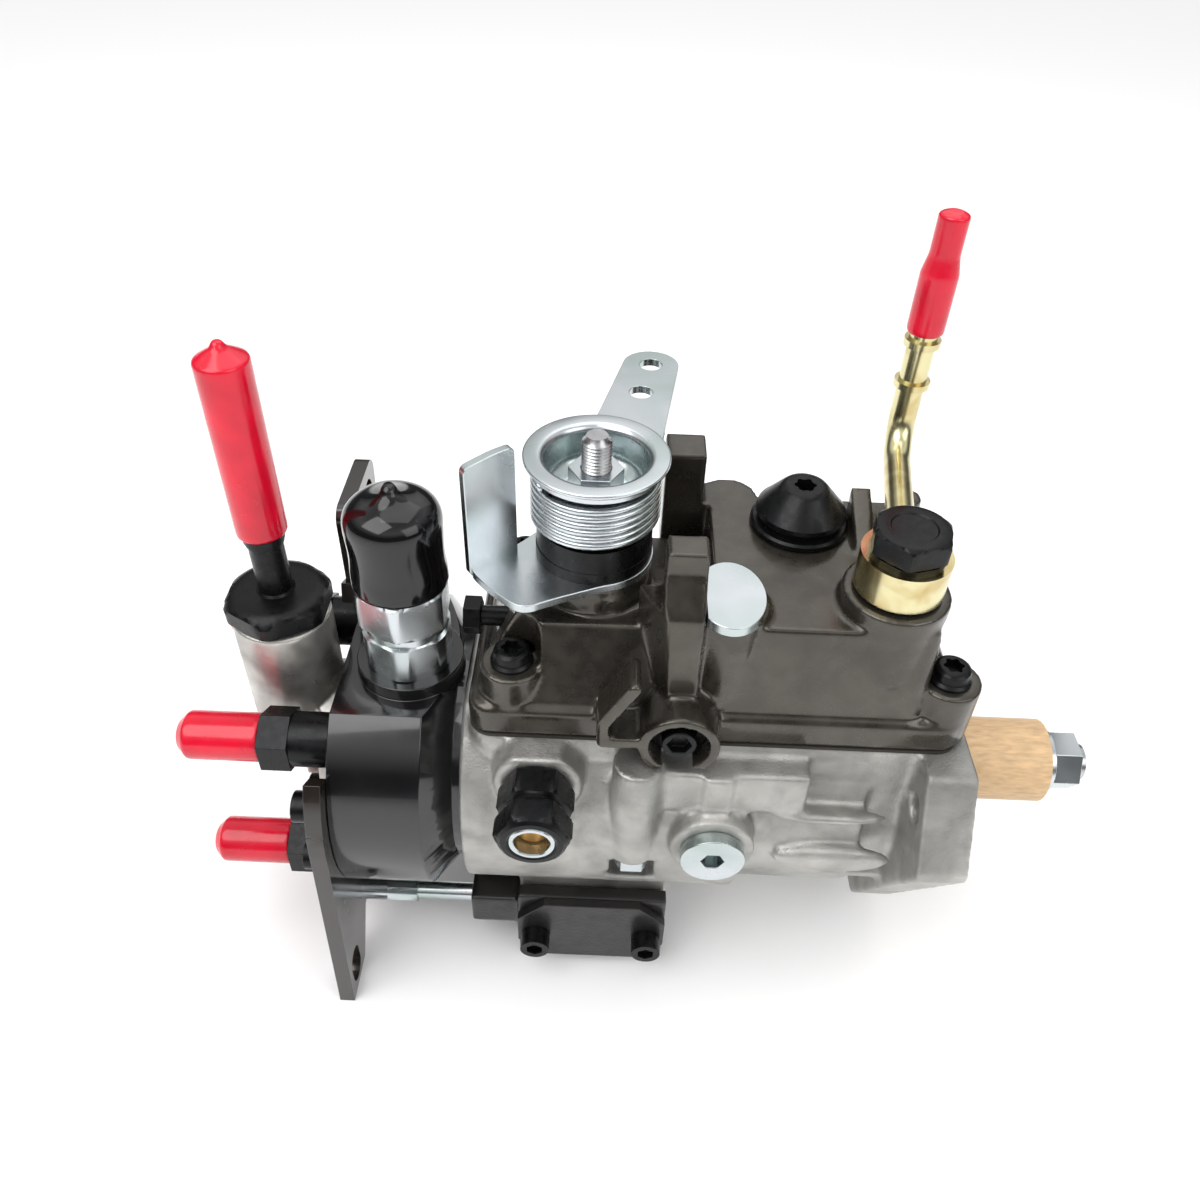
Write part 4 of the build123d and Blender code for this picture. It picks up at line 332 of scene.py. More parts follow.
def sheet_finish(name, colour, rough, fibre_mm):
    """Card, gasket sheet or rubber: matt, with a fibre or a fine pebble."""
    material, tree, shader = surface(name, {"Metallic": 0.0})
    fibre = grain(tree, fibre_mm, detail=5.0, distortion=0.3, stretch=(0.25, 1, 1))
    tinted(tree, shader, fibre, [(0.3, shade(colour, 0.8)), (0.7, shade(colour, 1.15))])
    rubbed(tree, shader, fibre, rough - 0.08, rough + 0.08)
    bump(tree, shader, fibre, depth_mm=0.05, strength=0.5)
    return material


FINISHES = {}


def make_finishes(colours):
    """All finishes of the pump, by the record's material slot."""
    tone = {name: hex_colour(getattr(colours, name)) for name in colours.bl_rna.properties.keys()
            if name not in ("rna_type", "name")}
    # Sand mould: a pale, gritty grey that glints without a clear reflection
    FINISHES["cast_housing"] = cast_finish(
        "Sand_cast_aluminium", tone["cast_metal"], rough=0.48, grit_mm=0.7, depth_mm=0.2)
    # Lacquer over a die casting: dark bronze with a wet sheen along the edges
    FINISHES["cover_casting"] = cast_finish(
        "Lacquered_die_casting", tone["cover_metal"], rough=0.30, grit_mm=1.0, depth_mm=0.04,
        metallic=0.75, coat=0.5)
    # Metal mould: smoother and brighter than sand, with faint waves
    FINISHES["inlet_casting"] = cast_finish(
        "Die_cast_aluminium", tone["inlet_metal"], rough=0.36, grit_mm=0.9, depth_mm=0.03)
    # Gloss black and bronze-black lacquers: deep and wet, with broad soft highlights
    FINISHES["head_black"] = lacquer_finish("Gloss_black_steel", tone["head_black"], rough=0.16)
    FINISHES["bracket_bronze"] = lacquer_finish(
        "Bronze_black_lacquer", tone["bracket_brown"], rough=0.20)
    # Zinc plates: cold and bright, or pale yellow with deeper clouds
    FINISHES["zinc"] = plated_finish(
        "Zinc_plate", tone["zinc"], tone["zinc_cloud"], rough=0.25, cloud_mm=26.0)
    FINISHES["yellow_zinc"] = plated_finish(
        "Yellow_zinc_plate", tone["yellow_zinc"], tone["yellow_cloud"], rough=0.22, cloud_mm=9.0)
    # Oxide black, ground steel and bronze: fine tool marks that blur the reflection
    FINISHES["black_steel"] = steel_finish(
        "Black_oxide_steel", tone["black_steel"], rough=0.30, metallic=0.6)
    FINISHES["bare_steel"] = steel_finish("Ground_steel", tone["bare_steel"], rough=0.26)
    FINISHES["bearing_bronze"] = steel_finish("Bearing_bronze", tone["bronze"], rough=0.3)
    # Painted sand-cast iron: near black, with a coarse grain under the paint
    FINISHES["black_iron"] = cast_finish(
        "Black_cast_iron", tone["black_iron"], rough=0.38, grit_mm=1.1, depth_mm=0.14,
        metallic=0.3, coat=0.3)
    # Dipped vinyl: thick, soft and wet
    FINISHES["red_vinyl"] = vinyl_finish(
        "Dipped_red_vinyl", tone["red_vinyl"], rough=0.20, depth_mm=0.012)
    FINISHES["black_vinyl"] = vinyl_finish(
        "Dipped_black_vinyl", tone["black_vinyl"], rough=0.10, depth_mm=0.01)
    # Matt sheets: the grain is drawn coarser than the real fibre, so that it shows
    FINISHES["seal_rubber"] = sheet_finish("Seal_rubber", tone["rubber"], rough=0.5, fibre_mm=0.8)
    FINISHES["gasket_paper"] = sheet_finish("Gasket_sheet", tone["gasket"], rough=0.7, fibre_mm=0.9)
    FINISHES["cardboard"] = sheet_finish("Kraft_card", tone["card"], rough=0.48, fibre_mm=1.2)


# Forms, in millimetres
# Low swellings of the housing's front: centre, half sizes, and lean in degrees
HOUSING_BULGES = (((-35, -43.0, 1), (18, 3.0, 5.5), 0),
                  ((-38, -40.6, 18.5), (17, 3.6, 1.9), -22),
                  ((-113, -41.5, 6), (3.0, 3.0, 12), 0))

# Castings: node, its cell as a share of the casting cell, rounds of softening, swellings
CASTINGS = (("governor_cover", 0.85, 5, ()),
            ("pump_housing", 1.14, 4, HOUSING_BULGES),
            ("inlet_housing", 0.8, 3, ()),
            ("advance_housing", 0.8, 5, ()))
VINYL_CAPS = ("delivery_caps", "inlet_cap", "leak_off_cap")
VINYL_ROUNDS = 8

MACHINED = ("hydraulic_head", "rear_bracket", "delivery_holders", "support_rod", "lock_screw",
            "advance_covers", "socket_screws", "timing_plug", "gallery_plug", "shaft_nut",
            "stop_screws", "throttle_nut", "throttle_collar")
SHEETS = ("throttle_lever", "blanking_disc")

# Turned profiles: radius, and height over the seat that the piece's own function names
BANJO_SHANK = 5.9
BANJO_WASHER = 9.9
BANJO_HEAD = ((9.3, 0), (10.7, 0.5), (11.0, 0.9), (11.0, 5.5), (10.4, 6.2), (9.5, 6.8), (9.0, 7.0),
              (6.2, 7.0), (5.8, 6.65))
UPPER_WASHER = 1.2
LOWER_WASHER = ((5.95, -13.35), (BANJO_WASHER, -13.35), (BANJO_WASHER, -12.3), (5.95, -12.3))

INLET_SPIGOT = 8.9
INLET_NUT = ((INLET_SPIGOT, 0), (13.6, 0), (15.9, 1.2), (16.0, 5.1), (15.2, 6.3), (14.0, 7.3),
             (12.6, 8.0), (11.4, 8.3), (9.2, 8.5))
INLET_TUBE = ((5.6, 8.5), (5.0, 9.2), (5.0, 25.4), (5.5, 25.9), (5.5, 26.9), (5.9, 27.2),
              (5.9, 29.1), (5.4, 29.4), (5.0, 29.7))
INLET_BORE = 3.0

SOLENOID_THREAD = 9.9
SOLENOID_COLLAR = ((SOLENOID_THREAD, 0), (12.6, 0), (13.1, 0.5), (13.1, 12.4), (11.9, 12.8))
SOLENOID_HEXAGON = ((11.9, 15.5), (12.3, 15.5), (13.6, 16.4), (13.9, 16.8), (13.9, 27.1),
                    (13.4, 28.2), (12.3, 29.2), (11.9, 29.4))
SOLENOID_POST = ((9.0, 29.4), (9.0, 40.5), (8.0, 41.5))

DOME_SHANK = 7.0
DOME_FLANGE = ((14.0, 0), (14.4, 0.5), (14.3, 1.8), (13.6, 2.4), (12.0, 2.6), (12.0, 4.2))
DOME_CONE = ((12.9, 4.4), (13.2, 5.0), (12.9, 6.2), (11.8, 7.4), (7.4, 12.6), (6.4, 13.6),
             (5.2, 14.0), (3.2, 14.0))
DOME_RECESS = ((2.9, 13.9), (2.8, 9.0))

SCREW_SHANK = 3.0
SCREW_FLANGE = 6.0
SCREW_HEAD = ((SCREW_SHANK, 0), (SCREW_FLANGE, 0), (SCREW_FLANGE, 0.8), (5.6, 1.2), (5.3, 1.5),
              (5.2, 3.2), (4.9, 4.2), (4.2, 4.8), (3.6, 5.0))
SCREW_STAR = (2.6, 2.5)

# The side adaptor's heights run back from its mouth
ADAPTOR_REAR = ((7.9, -30.5), (7.9, -19.45), (9.6, -19.45), (10.7, -18.6), (10.97, -18.0),
                (10.97, -11.9), (10.3, -10.9), (9.2, -10.3), (8.9, -10.1))
ADAPTOR_FRONT = ((8.9, -9.3), (9.4, -9.0), (10.6, -8.3), (10.97, -7.7), (10.97, -2.6), (10.4, -1.7),
                 (9.6, -0.8), (8.6, -0.1), (7.2, 0), (6.6, -0.3), (6.6, -5.9))
MOUTH_RING = ((5.0, -5.6), (5.0, -0.4), (5.3, -0.1), (6.2, -0.1), (6.5, -0.4), (6.5, -5.6))
MOUTH_FILTER = ((0, -5.8), (4.9, -5.8), (4.9, -4.6), (4.2, -4.0), (2.2, -4.3), (0, -4.3))


# Mesh helpers
def cad_copy(node):
    """A merged bmesh of a CAD node."""
    shape = bmesh.new()
    shape.from_mesh(frame["nodes"][node].data)
    bmesh.ops.remove_doubles(shape, verts=shape.verts, dist=0.004 * MM)
    return shape


def finished(shape, name, body, slot, replaced=()):
    """Turns a bmesh into a piece: its object at the origin, the finish of its slot and its body."""
    mesh = bpy.data.meshes.new(name)
    shape.to_mesh(mesh)
    shape.free()
    piece = bpy.data.objects.new(name, mesh)
    bpy.context.scene.collection.objects.link(piece)
    mesh.materials.append(FINISHES[slot])
    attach(piece, body)
    if replaced:
        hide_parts(*replaced)
    return piece


def body_of(node):
    """The body that a CAD node rides on."""
    return frame["nodes"][node]["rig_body"]


def standing_for(node, shape, suffix):
    """Turns a bmesh into the piece that stands for one CAD node, with the finish of that node's slot."""
    return finished(shape, f"{node}_{suffix}", body_of(node), SLOT_OF[node], (node,))


def smooth_by_angle(piece, degrees_limit):
    """Smooth shading, with sharp edges where faces meet above the limit."""
    mesh = piece.data
    mesh.shade_smooth()
    mesh.set_sharp_from_angle(angle=radians(degrees_limit))


def broken_edges(node, width):
    """A CAD node again with its sharp edges broken by a small bevel."""
    shape = cad_copy(node)
    bmesh.ops.dissolve_limit(shape, angle_limit=radians(1.0), verts=shape.verts, edges=shape.edges)
    piece = standing_for(node, shape, "dressed")
    smooth_by_angle(piece, 32)
    break_edges(piece, width)
    return piece


def break_edges(piece, width):
    """Adds a live bevel on the sharp edges of a piece."""
    bevel = piece.modifiers.new("Broken edge", "BEVEL")
    bevel.width = width
    bevel.segments = 2
    bevel.limit_method = "ANGLE"
    bevel.angle_limit = radians(32)
    bevel.use_clamp_overlap = True
    bevel.harden_normals = True


def cast_piece(node, voxel, rounds, bulges=()):
    """A CAD node again as a casting: remeshed fine, with every edge and corner rounded.

    Each bulge is (centre, half sizes, turn about X in degrees), all in millimetres."""
    shape = cad_copy(node)
    for centre, half, lean in bulges:
        place = (Matrix.Translation(Vector(centre) * MM) @ Matrix.Rotation(radians(lean), 4, "X")
                 @ Matrix.Diagonal((*[size * MM for size in half], 1)))
        bmesh.ops.create_icosphere(shape, subdivisions=4, radius=1.0, matrix=place)
    piece = standing_for(node, shape, "casting")
    remesh = piece.modifiers.new("Cells", "REMESH")
    remesh.mode = "VOXEL"
    remesh.voxel_size = voxel
    soften = piece.modifiers.new("Rounded edges", "SMOOTH")
    soften.factor = 0.5
    soften.iterations = rounds
    bake_modifiers(piece)
    piece.data.shade_smooth()
    return piece


def bake_modifiers(piece):
    """Replaces a piece's mesh by what its modifiers make of it."""
    graph = bpy.context.evaluated_depsgraph_get()
    made = bpy.data.meshes.new_from_object(piece.evaluated_get(graph), depsgraph=graph)
    old = piece.data
    piece.modifiers.clear()
    piece.data = made
    made.name = old.name
    bpy.data.meshes.remove(old)


def turned(shape, profile, centre, axis, steps=64):
    """Spins a (radius, height) profile about an axis through centre into a closed skin."""
    axis = Vector(axis).normalized()
    side = axis.orthogonal().normalized()
    centre = Vector(centre)
    verts = [shape.verts.new(centre + side * radius + axis * height) for radius, height in profile]
    edges = [shape.edges.new(pair) for pair in zip(verts, verts[1:])]
    bmesh.ops.spin(shape, geom=verts + edges, cent=centre, axis=axis, angle=tau,
                   steps=steps, use_merge=True)
    bmesh.ops.remove_doubles(shape, verts=shape.verts, dist=0.002 * MM)
    bmesh.ops.recalc_face_normals(shape, faces=shape.faces)


def stacked(shape, place, profile, reshape=None, steps=96):
    """Adds a solid turned about an upright axis, whose profile is closed to that axis.

    reshape(radius, angle) may give a point another radius, for flats or lobes."""
    part = bmesh.new()
    closed = [(0, profile[0][1]), *profile, (0, profile[-1][1])]
    turned(part, closed, (0, 0, 0), (0, 0, 1), steps)
    for vert in part.verts:
        radius = Vector(vert.co[:2]).length
        if reshape and radius > 0:
            angle = Vector((1, 0)).angle_signed(Vector(vert.co[:2]))
            share = reshape(radius, angle) / radius
            vert.co.x *= share
            vert.co.y *= share
    bmesh.ops.translate(part, verts=part.verts, vec=(*place, 0))
    bmesh.ops.recalc_face_normals(part, faces=part.faces)
    carrier = bpy.data.meshes.new("Carrier")
    part.to_mesh(carrier)
    part.free()
    shape.from_mesh(carrier)
    bpy.data.meshes.remove(carrier)


def to_hexagon(flats, turn):
    """A reshape that cuts a turned form to a hexagon, turned by some degrees."""
    def reshape(radius, angle):
        from_flat = (angle - radians(turn) + pi / 6) % (pi / 3) - pi / 6
        return min(radius, flats / 2 / cos(from_flat))

    return reshape


def to_star(mouth, depth):
    """A reshape that gives six lobes to the points no wider than a recess's mouth."""
    def reshape(radius, angle):
        inside = radius < mouth + 0.01 * MM
        return radius * (1 + depth * cos(6 * angle)) if inside else radius

    return reshape


def eased(profile, ease, steps=4):
    """The same (radius, height) profile with its inner corners rounded by short curves."""
    rounded = [Vector(profile[0])]
    for before, corner, after in zip(profile, profile[1:], profile[2:]):
        before, corner, after = Vector(before), Vector(corner), Vector(after)
        reach = min(ease, (corner - before).length * 0.45, (after - corner).length * 0.45)
        start = corner + (before - corner).normalized() * reach
        end = corner + (after - corner).normalized() * reach
        for step in range(steps + 1):
            share = step / steps
            rounded.append(start.lerp(corner, share).lerp(corner.lerp(end, share), share))
    rounded.append(Vector(profile[-1]))
    return [(point.x, point.y) for point in rounded]


def coil(shape, centre, radius, wire, turns, low, high, steps=44):
    """A helix of round wire about a vertical axis, closed at both ends."""
    start = Matrix.Translation(Vector((*centre, low)) + Vector((radius, 0, 0)))
    ring = bmesh.ops.create_circle(shape, cap_ends=False, radius=wire / 2, segments=14,
                                   matrix=start @ Matrix.Rotation(pi / 2, 4, "X"))["verts"]
    ring_edges = list({edge for vert in ring for edge in vert.link_edges})
    count = round(turns * steps)
    bmesh.ops.spin(shape, geom=ring + ring_edges, cent=(*centre, low), axis=(0, 0, 1),
                   dvec=(0, 0, (high - low) / count), angle=tau * turns, steps=count)
    ends = [edge for edge in shape.edges if edge.is_boundary]
    bmesh.ops.holes_fill(shape, edges=ends, sides=0)
    bmesh.ops.recalc_face_normals(shape, faces=shape.faces)


def plate(shape, outline, ease, frame_matrix, thickness):
    """A sheet: a closed outline with eased corners, pulled along the matrix's own Z."""
    closed = eased([outline[-1]] + list(outline) + [outline[0]], ease, 6)[1:-1]
    verts = [shape.verts.new(frame_matrix @ Vector((x, y, 0))) for x, y in closed]
    face = shape.faces.new(verts)
    pulled = bmesh.ops.extrude_face_region(shape, geom=[face])["geom"]
    moved = [item for item in pulled if isinstance(item, bmesh.types.BMVert)]
    away = frame_matrix.to_3x3() @ Vector((0, 0, thickness))
    bmesh.ops.translate(shape, verts=moved, vec=away)
    bmesh.ops.recalc_face_normals(shape, faces=shape.faces)


def in_mm(profile):
    """A profile written in millimetres, in metres."""
    return [tuple(value * MM for value in point) for point in profile]


def raised(profile, seat):
    """A profile whose heights are over a seat, all in millimetres."""
    return [(radius, height + seat) for radius, height in profile]


def span_of(node, axis):
    """Lowest and highest place of a CAD node along one axis, in metres."""
    places = [(frame["nodes"][node].matrix_world @ vert.co)[axis]
              for vert in frame["nodes"][node].data.vertices]
    return min(places), max(places)


def heights_mm(node):
    """Lowest and highest place of a CAD node, in millimetres."""
    return tuple(level / MM for level in span_of(node, 2))


def middle_of(node, axes=(0, 1)):
    """The middle of a CAD node's spans, which for an upright turned piece is its axis."""
    return tuple(sum(span_of(node, axis)) / 2 for axis in axes)


def radius_of(node):
    """Half of a CAD node's width from left to right."""
    low, high = span_of(node, 0)
    return (high - low) / 2


# Pieces on the throttle shaft
def wind_spring(sizes, centre):
    """The torsion spring, wound as one wire between the heights of its CAD node."""
    low, high = span_of("throttle_spring", 2)
    half_wire = sizes.spring_wire / 2
    shape = bmesh.new()
    coil(shape, centre, radius_of("throttle_spring") - half_wire, sizes.spring_wire,
         sizes.spring_turns, low + half_wire, high - half_wire)
    spring = standing_for("throttle_spring", shape, "wound")
    spring.data.shade_smooth()


def press_stop_plate(sizes, centre):
    """The stop plate: a flat round the shaft, and the upright folded from its far edge."""
    bottom, top = span_of("stop_plate", 2)
    hub = 16.8
    fold_start, fold_end = (-34.6, -10.3), (-22.4, -1.2)
    outline = [(hub * cos(radians(angle)), hub * sin(radians(angle))) for angle in range(-80, 146, 15)]
    outline += [fold_end, fold_start, (-27.0, -19.5), (-18.0, -27.0), (-10.0, -22.5)]
    shape = bmesh.new()
    plate(shape, in_mm(outline), 5.0 * MM, Matrix.Translation((*centre, bottom)), sizes.plate_thickness)
    along = (Vector(fold_end) - Vector(fold_start)).to_3d().normalized()
    across = Vector((along.y, -along.x, 0))
    stand = Matrix((along, (0, 0, 1), across)).transposed().to_4x4()
    stand.translation = Vector((*centre, bottom)) + Vector(fold_start).to_3d() * MM
    wide, tall = 15.2, (top - bottom) / MM
    upright = [(0, 0), (wide, 0), (wide, tall), (9.0, tall - 0.2), (0, tall - 1.7)]
    plate(shape, in_mm(upright), 2.0 * MM, stand, sizes.plate_thickness)
    stop = standing_for("stop_plate", shape, "pressed")
    smooth_by_angle(stop, 30)
    break_edges(stop, sizes.sheet_edge_round)


def press_cup(sizes, centre):
    """The dished cup: a coned floor, an upright wall and a flat lip."""
    bottom, top = span_of("throttle_cup", 2)
    lip = radius_of("throttle_cup")
    sheet, bore, wall = sizes.sheet_thickness, 4.05 * MM, 14.8 * MM
    knee = bottom + wall * 0.27
    profile = [(bore, bottom), (wall * 0.7, bottom), (wall, knee), (wall, top - sheet),
               (lip, top - sheet), (lip, top), (wall, top), (wall - sheet, top - sheet),
               (wall - sheet, knee + sheet / 2), (wall * 0.67, bottom + sheet), (bore, bottom + sheet)]
    shape = bmesh.new()
    turned(shape, eased(profile, 1.6 * MM) + [profile[0]], (*centre, 0), (0, 0, 1), 96)
    cup = standing_for("throttle_cup", shape, "pressed")
    smooth_by_angle(cup, 40)


def cut_shaft(sizes, centre):
    """The throttle shaft: the crank with its pin below, and the thread from the nut up."""
    bottom, top = span_of("throttle_shaft", 2)
    seat = span_of("throttle_nut", 2)[0]
    pitch, crest, root = sizes.thread_pitch, 4.0 * MM, 3.45 * MM
    crank, crank_low, crank_top = 8.0 * MM, bottom + 4.0 * MM, bottom + 7.0 * MM
    profile = [(0, crank_low), (crank, crank_low), (crank, crank_top), (crest, crank_top), (crest, seat)]
    height = seat
    while height < top - 2 * pitch:
        profile += [(root, height + pitch / 2), (crest, height + pitch)]
        height += pitch
    profile += [(root, height + pitch / 2), (root * 0.8, top), (0, top)]
    shape = bmesh.new()
    turned(shape, profile, (*centre, 0), (0, 0, 1), 48)
    pin_offset, pin_radius, pin_length = 6.5 * MM, 1.5 * MM, 4.2 * MM
    pin = Matrix.Translation((centre[0] + pin_offset, centre[1], bottom + pin_length / 2))
    bmesh.ops.create_cone(shape, cap_ends=True, segments=24, radius1=pin_radius, radius2=pin_radius,
                          depth=pin_length, matrix=pin)
    shaft = standing_for("throttle_shaft", shape, "threaded")
    smooth_by_angle(shaft, 25)


# Caps and fasteners
def dip_solenoid_cap(sizes):
    """The solenoid's black cap: a thin dipped skin with a nub on top and wrinkles."""
    low, high = span_of("solenoid_cap", 2)
    centre = middle_of("solenoid_body")
    outer = radius_of("solenoid_cap")
    nub, dome = 3.0 * MM, 9.0 * MM
    crown = high - nub
    shoulder = crown - dome
    dome_steps, side_steps = 14, 24
    skin = [(outer * sqrt(1 - (step / dome_steps) ** 2.4), shoulder + dome * step / dome_steps)
            for step in range(dome_steps - 1)]
    skin += [(nub, crown + 0.1 * MM), (nub * 0.8, crown + nub * 0.5), (nub * 0.4, high)]
    side = [(outer, low + (shoulder - low) * step / side_steps) for step in range(side_steps)]
    inner = [(radius - sizes.vinyl_wall, height) for radius, height in reversed(side)]
    shape = bmesh.new()
    stacked(shape, centre, inner + side + skin)
    cap = standing_for("solenoid_cap", shape, "dipped")
    cap.data.shade_smooth()
    wrinkle, waists = 9.0 * MM, 1.4
    for vert in cap.data.vertices:
        share = (vert.co.z - low) / (high - low)
        place = Vector((vert.co.x, vert.co.y, vert.co.z * 0.7)) / wrinkle
        fade = min(1.0, 5 * share) * min(1.0, 3 * (1 - share))
        waist = 0.5 + 0.5 * sin(tau * (share * waists - 0.25))
        push = (waist + 0.9 * noise.noise(place)) * sizes.wrinkle_depth * fade
        away = Vector((vert.co.x - centre[0], vert.co.y - centre[1], 0)).normalized()
        vert.co -= away * max(0.0, push)


def turn_cover_screws(sizes):
    """The cover's four flanged screws with star recesses, one at each corner of their span."""
    bottom, top = heights_mm("cover_screws")
    seat = top - SCREW_HEAD[-1][1]
    star_floor = top - sizes.star_depth / MM
    profile = [(SCREW_SHANK, bottom), *raised(SCREW_HEAD, seat), (SCREW_STAR[0], top),
               (SCREW_STAR[1], star_floor)]
    lobes = to_star(SCREW_STAR[0] * MM, 0.14)
    shape = bmesh.new()
    for x_end, x_side in zip(span_of("cover_screws", 0), (1, -1)):
        for y_end, y_side in zip(span_of("cover_screws", 1), (1, -1)):
            place = (x_end + x_side * SCREW_FLANGE * MM, y_end + y_side * SCREW_FLANGE * MM)
            stacked(shape, place, in_mm(profile), lobes, steps=48)
    screws = standing_for("cover_screws", shape, "star")
    smooth_by_angle(screws, 30)


def turn_side_adaptor(sizes):
    """The side adaptor: its black hexagon, the bright ring in its mouth and the filter behind."""
    mouth = Vector((*middle_of("side_adaptor"), 0))
    mouth.y = span_of("side_adaptor", 1)[0]
    mouth.z = middle_of("side_adaptor", (2,))[0]
    shape = bmesh.new()
    stacked(shape, (0, 0), in_mm(ADAPTOR_REAR + ADAPTOR_FRONT), to_hexagon(sizes.adaptor_flats, 30))
    bmesh.ops.transform(shape, verts=shape.verts,
                        matrix=Matrix.Translation(mouth) @ Matrix.Rotation(pi / 2, 4, "X"))
    adaptor = standing_for("side_adaptor", shape, "turned")
    smooth_by_angle(adaptor, 24)
    outward = (0, -1, 0)
    for name, slot, profile in (("side_adaptor_ring", "zinc", MOUTH_RING + MOUTH_RING[:1]),
                                ("side_adaptor_filter", "bearing_bronze", MOUTH_FILTER)):
        shape = bmesh.new()
        turned(shape, in_mm(profile), mouth, outward)
        smooth_by_angle(finished(shape, name, body_of("side_adaptor"), slot), 30)


def turn_banjo_bolt(sizes):
    """The banjo bolt: its shank, two washers and a head with its corners turned off."""
    low, high = heights_mm("banjo_bolt")
    place = middle_of("banjo_bolt")
    seat = high - 7.0
    profile = [(BANJO_SHANK, low), (BANJO_SHANK, seat - UPPER_WASHER),
               (BANJO_WASHER, seat - UPPER_WASHER), (BANJO_WASHER, seat), *raised(BANJO_HEAD, seat)]
    shape = bmesh.new()
    stacked(shape, place, in_mm(profile), to_hexagon(sizes.banjo_flats, 12))
    stacked(shape, place, in_mm(raised(LOWER_WASHER, seat)))
    bolt = standing_for("banjo_bolt", shape, "turned")
    smooth_by_angle(bolt, 24)


def turn_inlet_connector(sizes):
    """The inlet connector: a nut with a broad round chamfer, and its tube with ringed beads."""
    low, high = heights_mm("inlet_connector")
    seat = low + 10.0
    profile = [(INLET_SPIGOT, low), *raised(INLET_NUT + INLET_TUBE, seat), (5.0, high - 0.6),
               (4.4, high), (INLET_BORE, high), (INLET_BORE, low + 2.0)]
    shape = bmesh.new()
    stacked(shape, middle_of("inlet_connector"), in_mm(profile), to_hexagon(sizes.inlet_flats, 0))
    inlet = standing_for("inlet_connector", shape, "turned")
    smooth_by_angle(inlet, 24)


def turn_solenoid(sizes):
    """The stop solenoid: its collar, a hexagon with turned corners, and the post under the cap."""
    low, high = heights_mm("solenoid_body")
    seat = high - SOLENOID_POST[-1][1]
    profile = [(SOLENOID_THREAD, low + 0.1),
               *raised(SOLENOID_COLLAR + SOLENOID_HEXAGON + SOLENOID_POST, seat)]
    shape = bmesh.new()
    stacked(shape, middle_of("solenoid_body"), in_mm(profile), to_hexagon(sizes.solenoid_flats, 0))
    solenoid = standing_for("solenoid_body", shape, "turned")
    smooth_by_angle(solenoid, 24)


def turn_dome_plug():
    """The cover's dome plug, with its groove and star recess."""
    low, high = heights_mm("cover_plug")
    seat = high - DOME_CONE[-1][1]
    profile = [(DOME_SHANK, low), (DOME_SHANK, seat),
               *raised(DOME_FLANGE + DOME_CONE + DOME_RECESS, seat)]
    shape = bmesh.new()
    stacked(shape, middle_of("cover_plug"), in_mm(profile), to_star(DOME_RECESS[0][0] * MM, 0.1))
    dome = standing_for("cover_plug", shape, "turned")
    smooth_by_angle(dome, 28)


# Operators
class PUMP_OT_finishes(bpy.types.Operator):
    """Makes the finishes and gives them to the CAD nodes that are shown as they are"""

    bl_idname = "pump.finishes"
    bl_label = "Finishes"

    def execute(self, context):
        make_finishes(context.scene.pump_colours)
        for node, piece in frame["nodes"].items():
            piece.data.materials.clear()
            piece.data.materials.append(FINISHES[SLOT_OF[node]])
        return {"FINISHED"}


class PUMP_OT_castings(bpy.types.Operator):
    """Rounds the edges and corners of the castings"""

    bl_idname = "pump.castings"
    bl_label = "Castings"

    def execute(self, context):
        cell = context.scene.pump_sizes.cast_voxel
        for node, share, rounds, bulges in CASTINGS:
            cast_piece(node, cell * share, rounds, bulges)
        return {"FINISHED"}


class PUMP_OT_machined(bpy.types.Operator):
    """Breaks the sharp edges of the machined and pressed pieces"""

    bl_idname = "pump.machined"
    bl_label = "Machined pieces"

    def execute(self, context):
        sizes = context.scene.pump_sizes
        for node in MACHINED:
            broken_edges(node, sizes.edge_round)
        for node in SHEETS:
            broken_edges(node, sizes.sheet_edge_round)
        return {"FINISHED"}


class PUMP_OT_throttle(bpy.types.Operator):
    """Winds the throttle spring and makes its stop plate, pressed cup and threaded shaft"""

    bl_idname = "pump.throttle"
    bl_label = "Throttle"

    def execute(self, context):
        sizes = context.scene.pump_sizes
        centre = middle_of("throttle_nut")
        for make in (wind_spring, press_stop_plate, press_cup, cut_shaft):
            make(sizes, centre)
        return {"FINISHED"}


class PUMP_OT_caps(bpy.types.Operator):
    """Softens the dipped vinyl caps and wrinkles the one on the solenoid"""

    bl_idname = "pump.caps"
    bl_label = "Vinyl caps"

    def execute(self, context):
        sizes = context.scene.pump_sizes
        for node in VINYL_CAPS:
            cast_piece(node, sizes.vinyl_cell, VINYL_ROUNDS)
        dip_solenoid_cap(sizes)
        return {"FINISHED"}


class PUMP_OT_fasteners(bpy.types.Operator):
    """Makes the cover's star-recess screws, and the side adaptor with its ring and filter"""

    bl_idname = "pump.fasteners"
    bl_label = "Fasteners"

    def execute(self, context):
        sizes = context.scene.pump_sizes
        turn_cover_screws(sizes)
        turn_side_adaptor(sizes)
        return {"FINISHED"}


class PUMP_OT_nuts(bpy.types.Operator):
    """Makes the chamfered hexagons of the banjo bolt, the inlet and the solenoid, and the dome plug"""

    bl_idname = "pump.nuts"
    bl_label = "Bolts and nuts"

    def execute(self, context):
        sizes = context.scene.pump_sizes
        turn_banjo_bolt(sizes)
        turn_inlet_connector(sizes)
        turn_solenoid(sizes)
        turn_dome_plug()
        return {"FINISHED"}


# Stage
# Softboxes: name, place in metres, turn in radians, width in metres, power in watts
SOFTBOXES = (("Key_softbox", (-0.55, -0.35, 0.85), (0.55, 0.0, -0.9), 0.7, 5.0),
             ("Fill_softbox", (0.55, -0.50, 0.60), (0.85, 0.0, 0.8), 0.6, 2.0),
             ("Top_softbox", (-0.05, 0.25, 1.05), (-0.25, 0.0, 0.0), 0.9, 3.5),
             ("Back_softbox", (0.12, 0.75, 0.62), (-0.92, 0.0, -0.21), 0.55, 0.4))

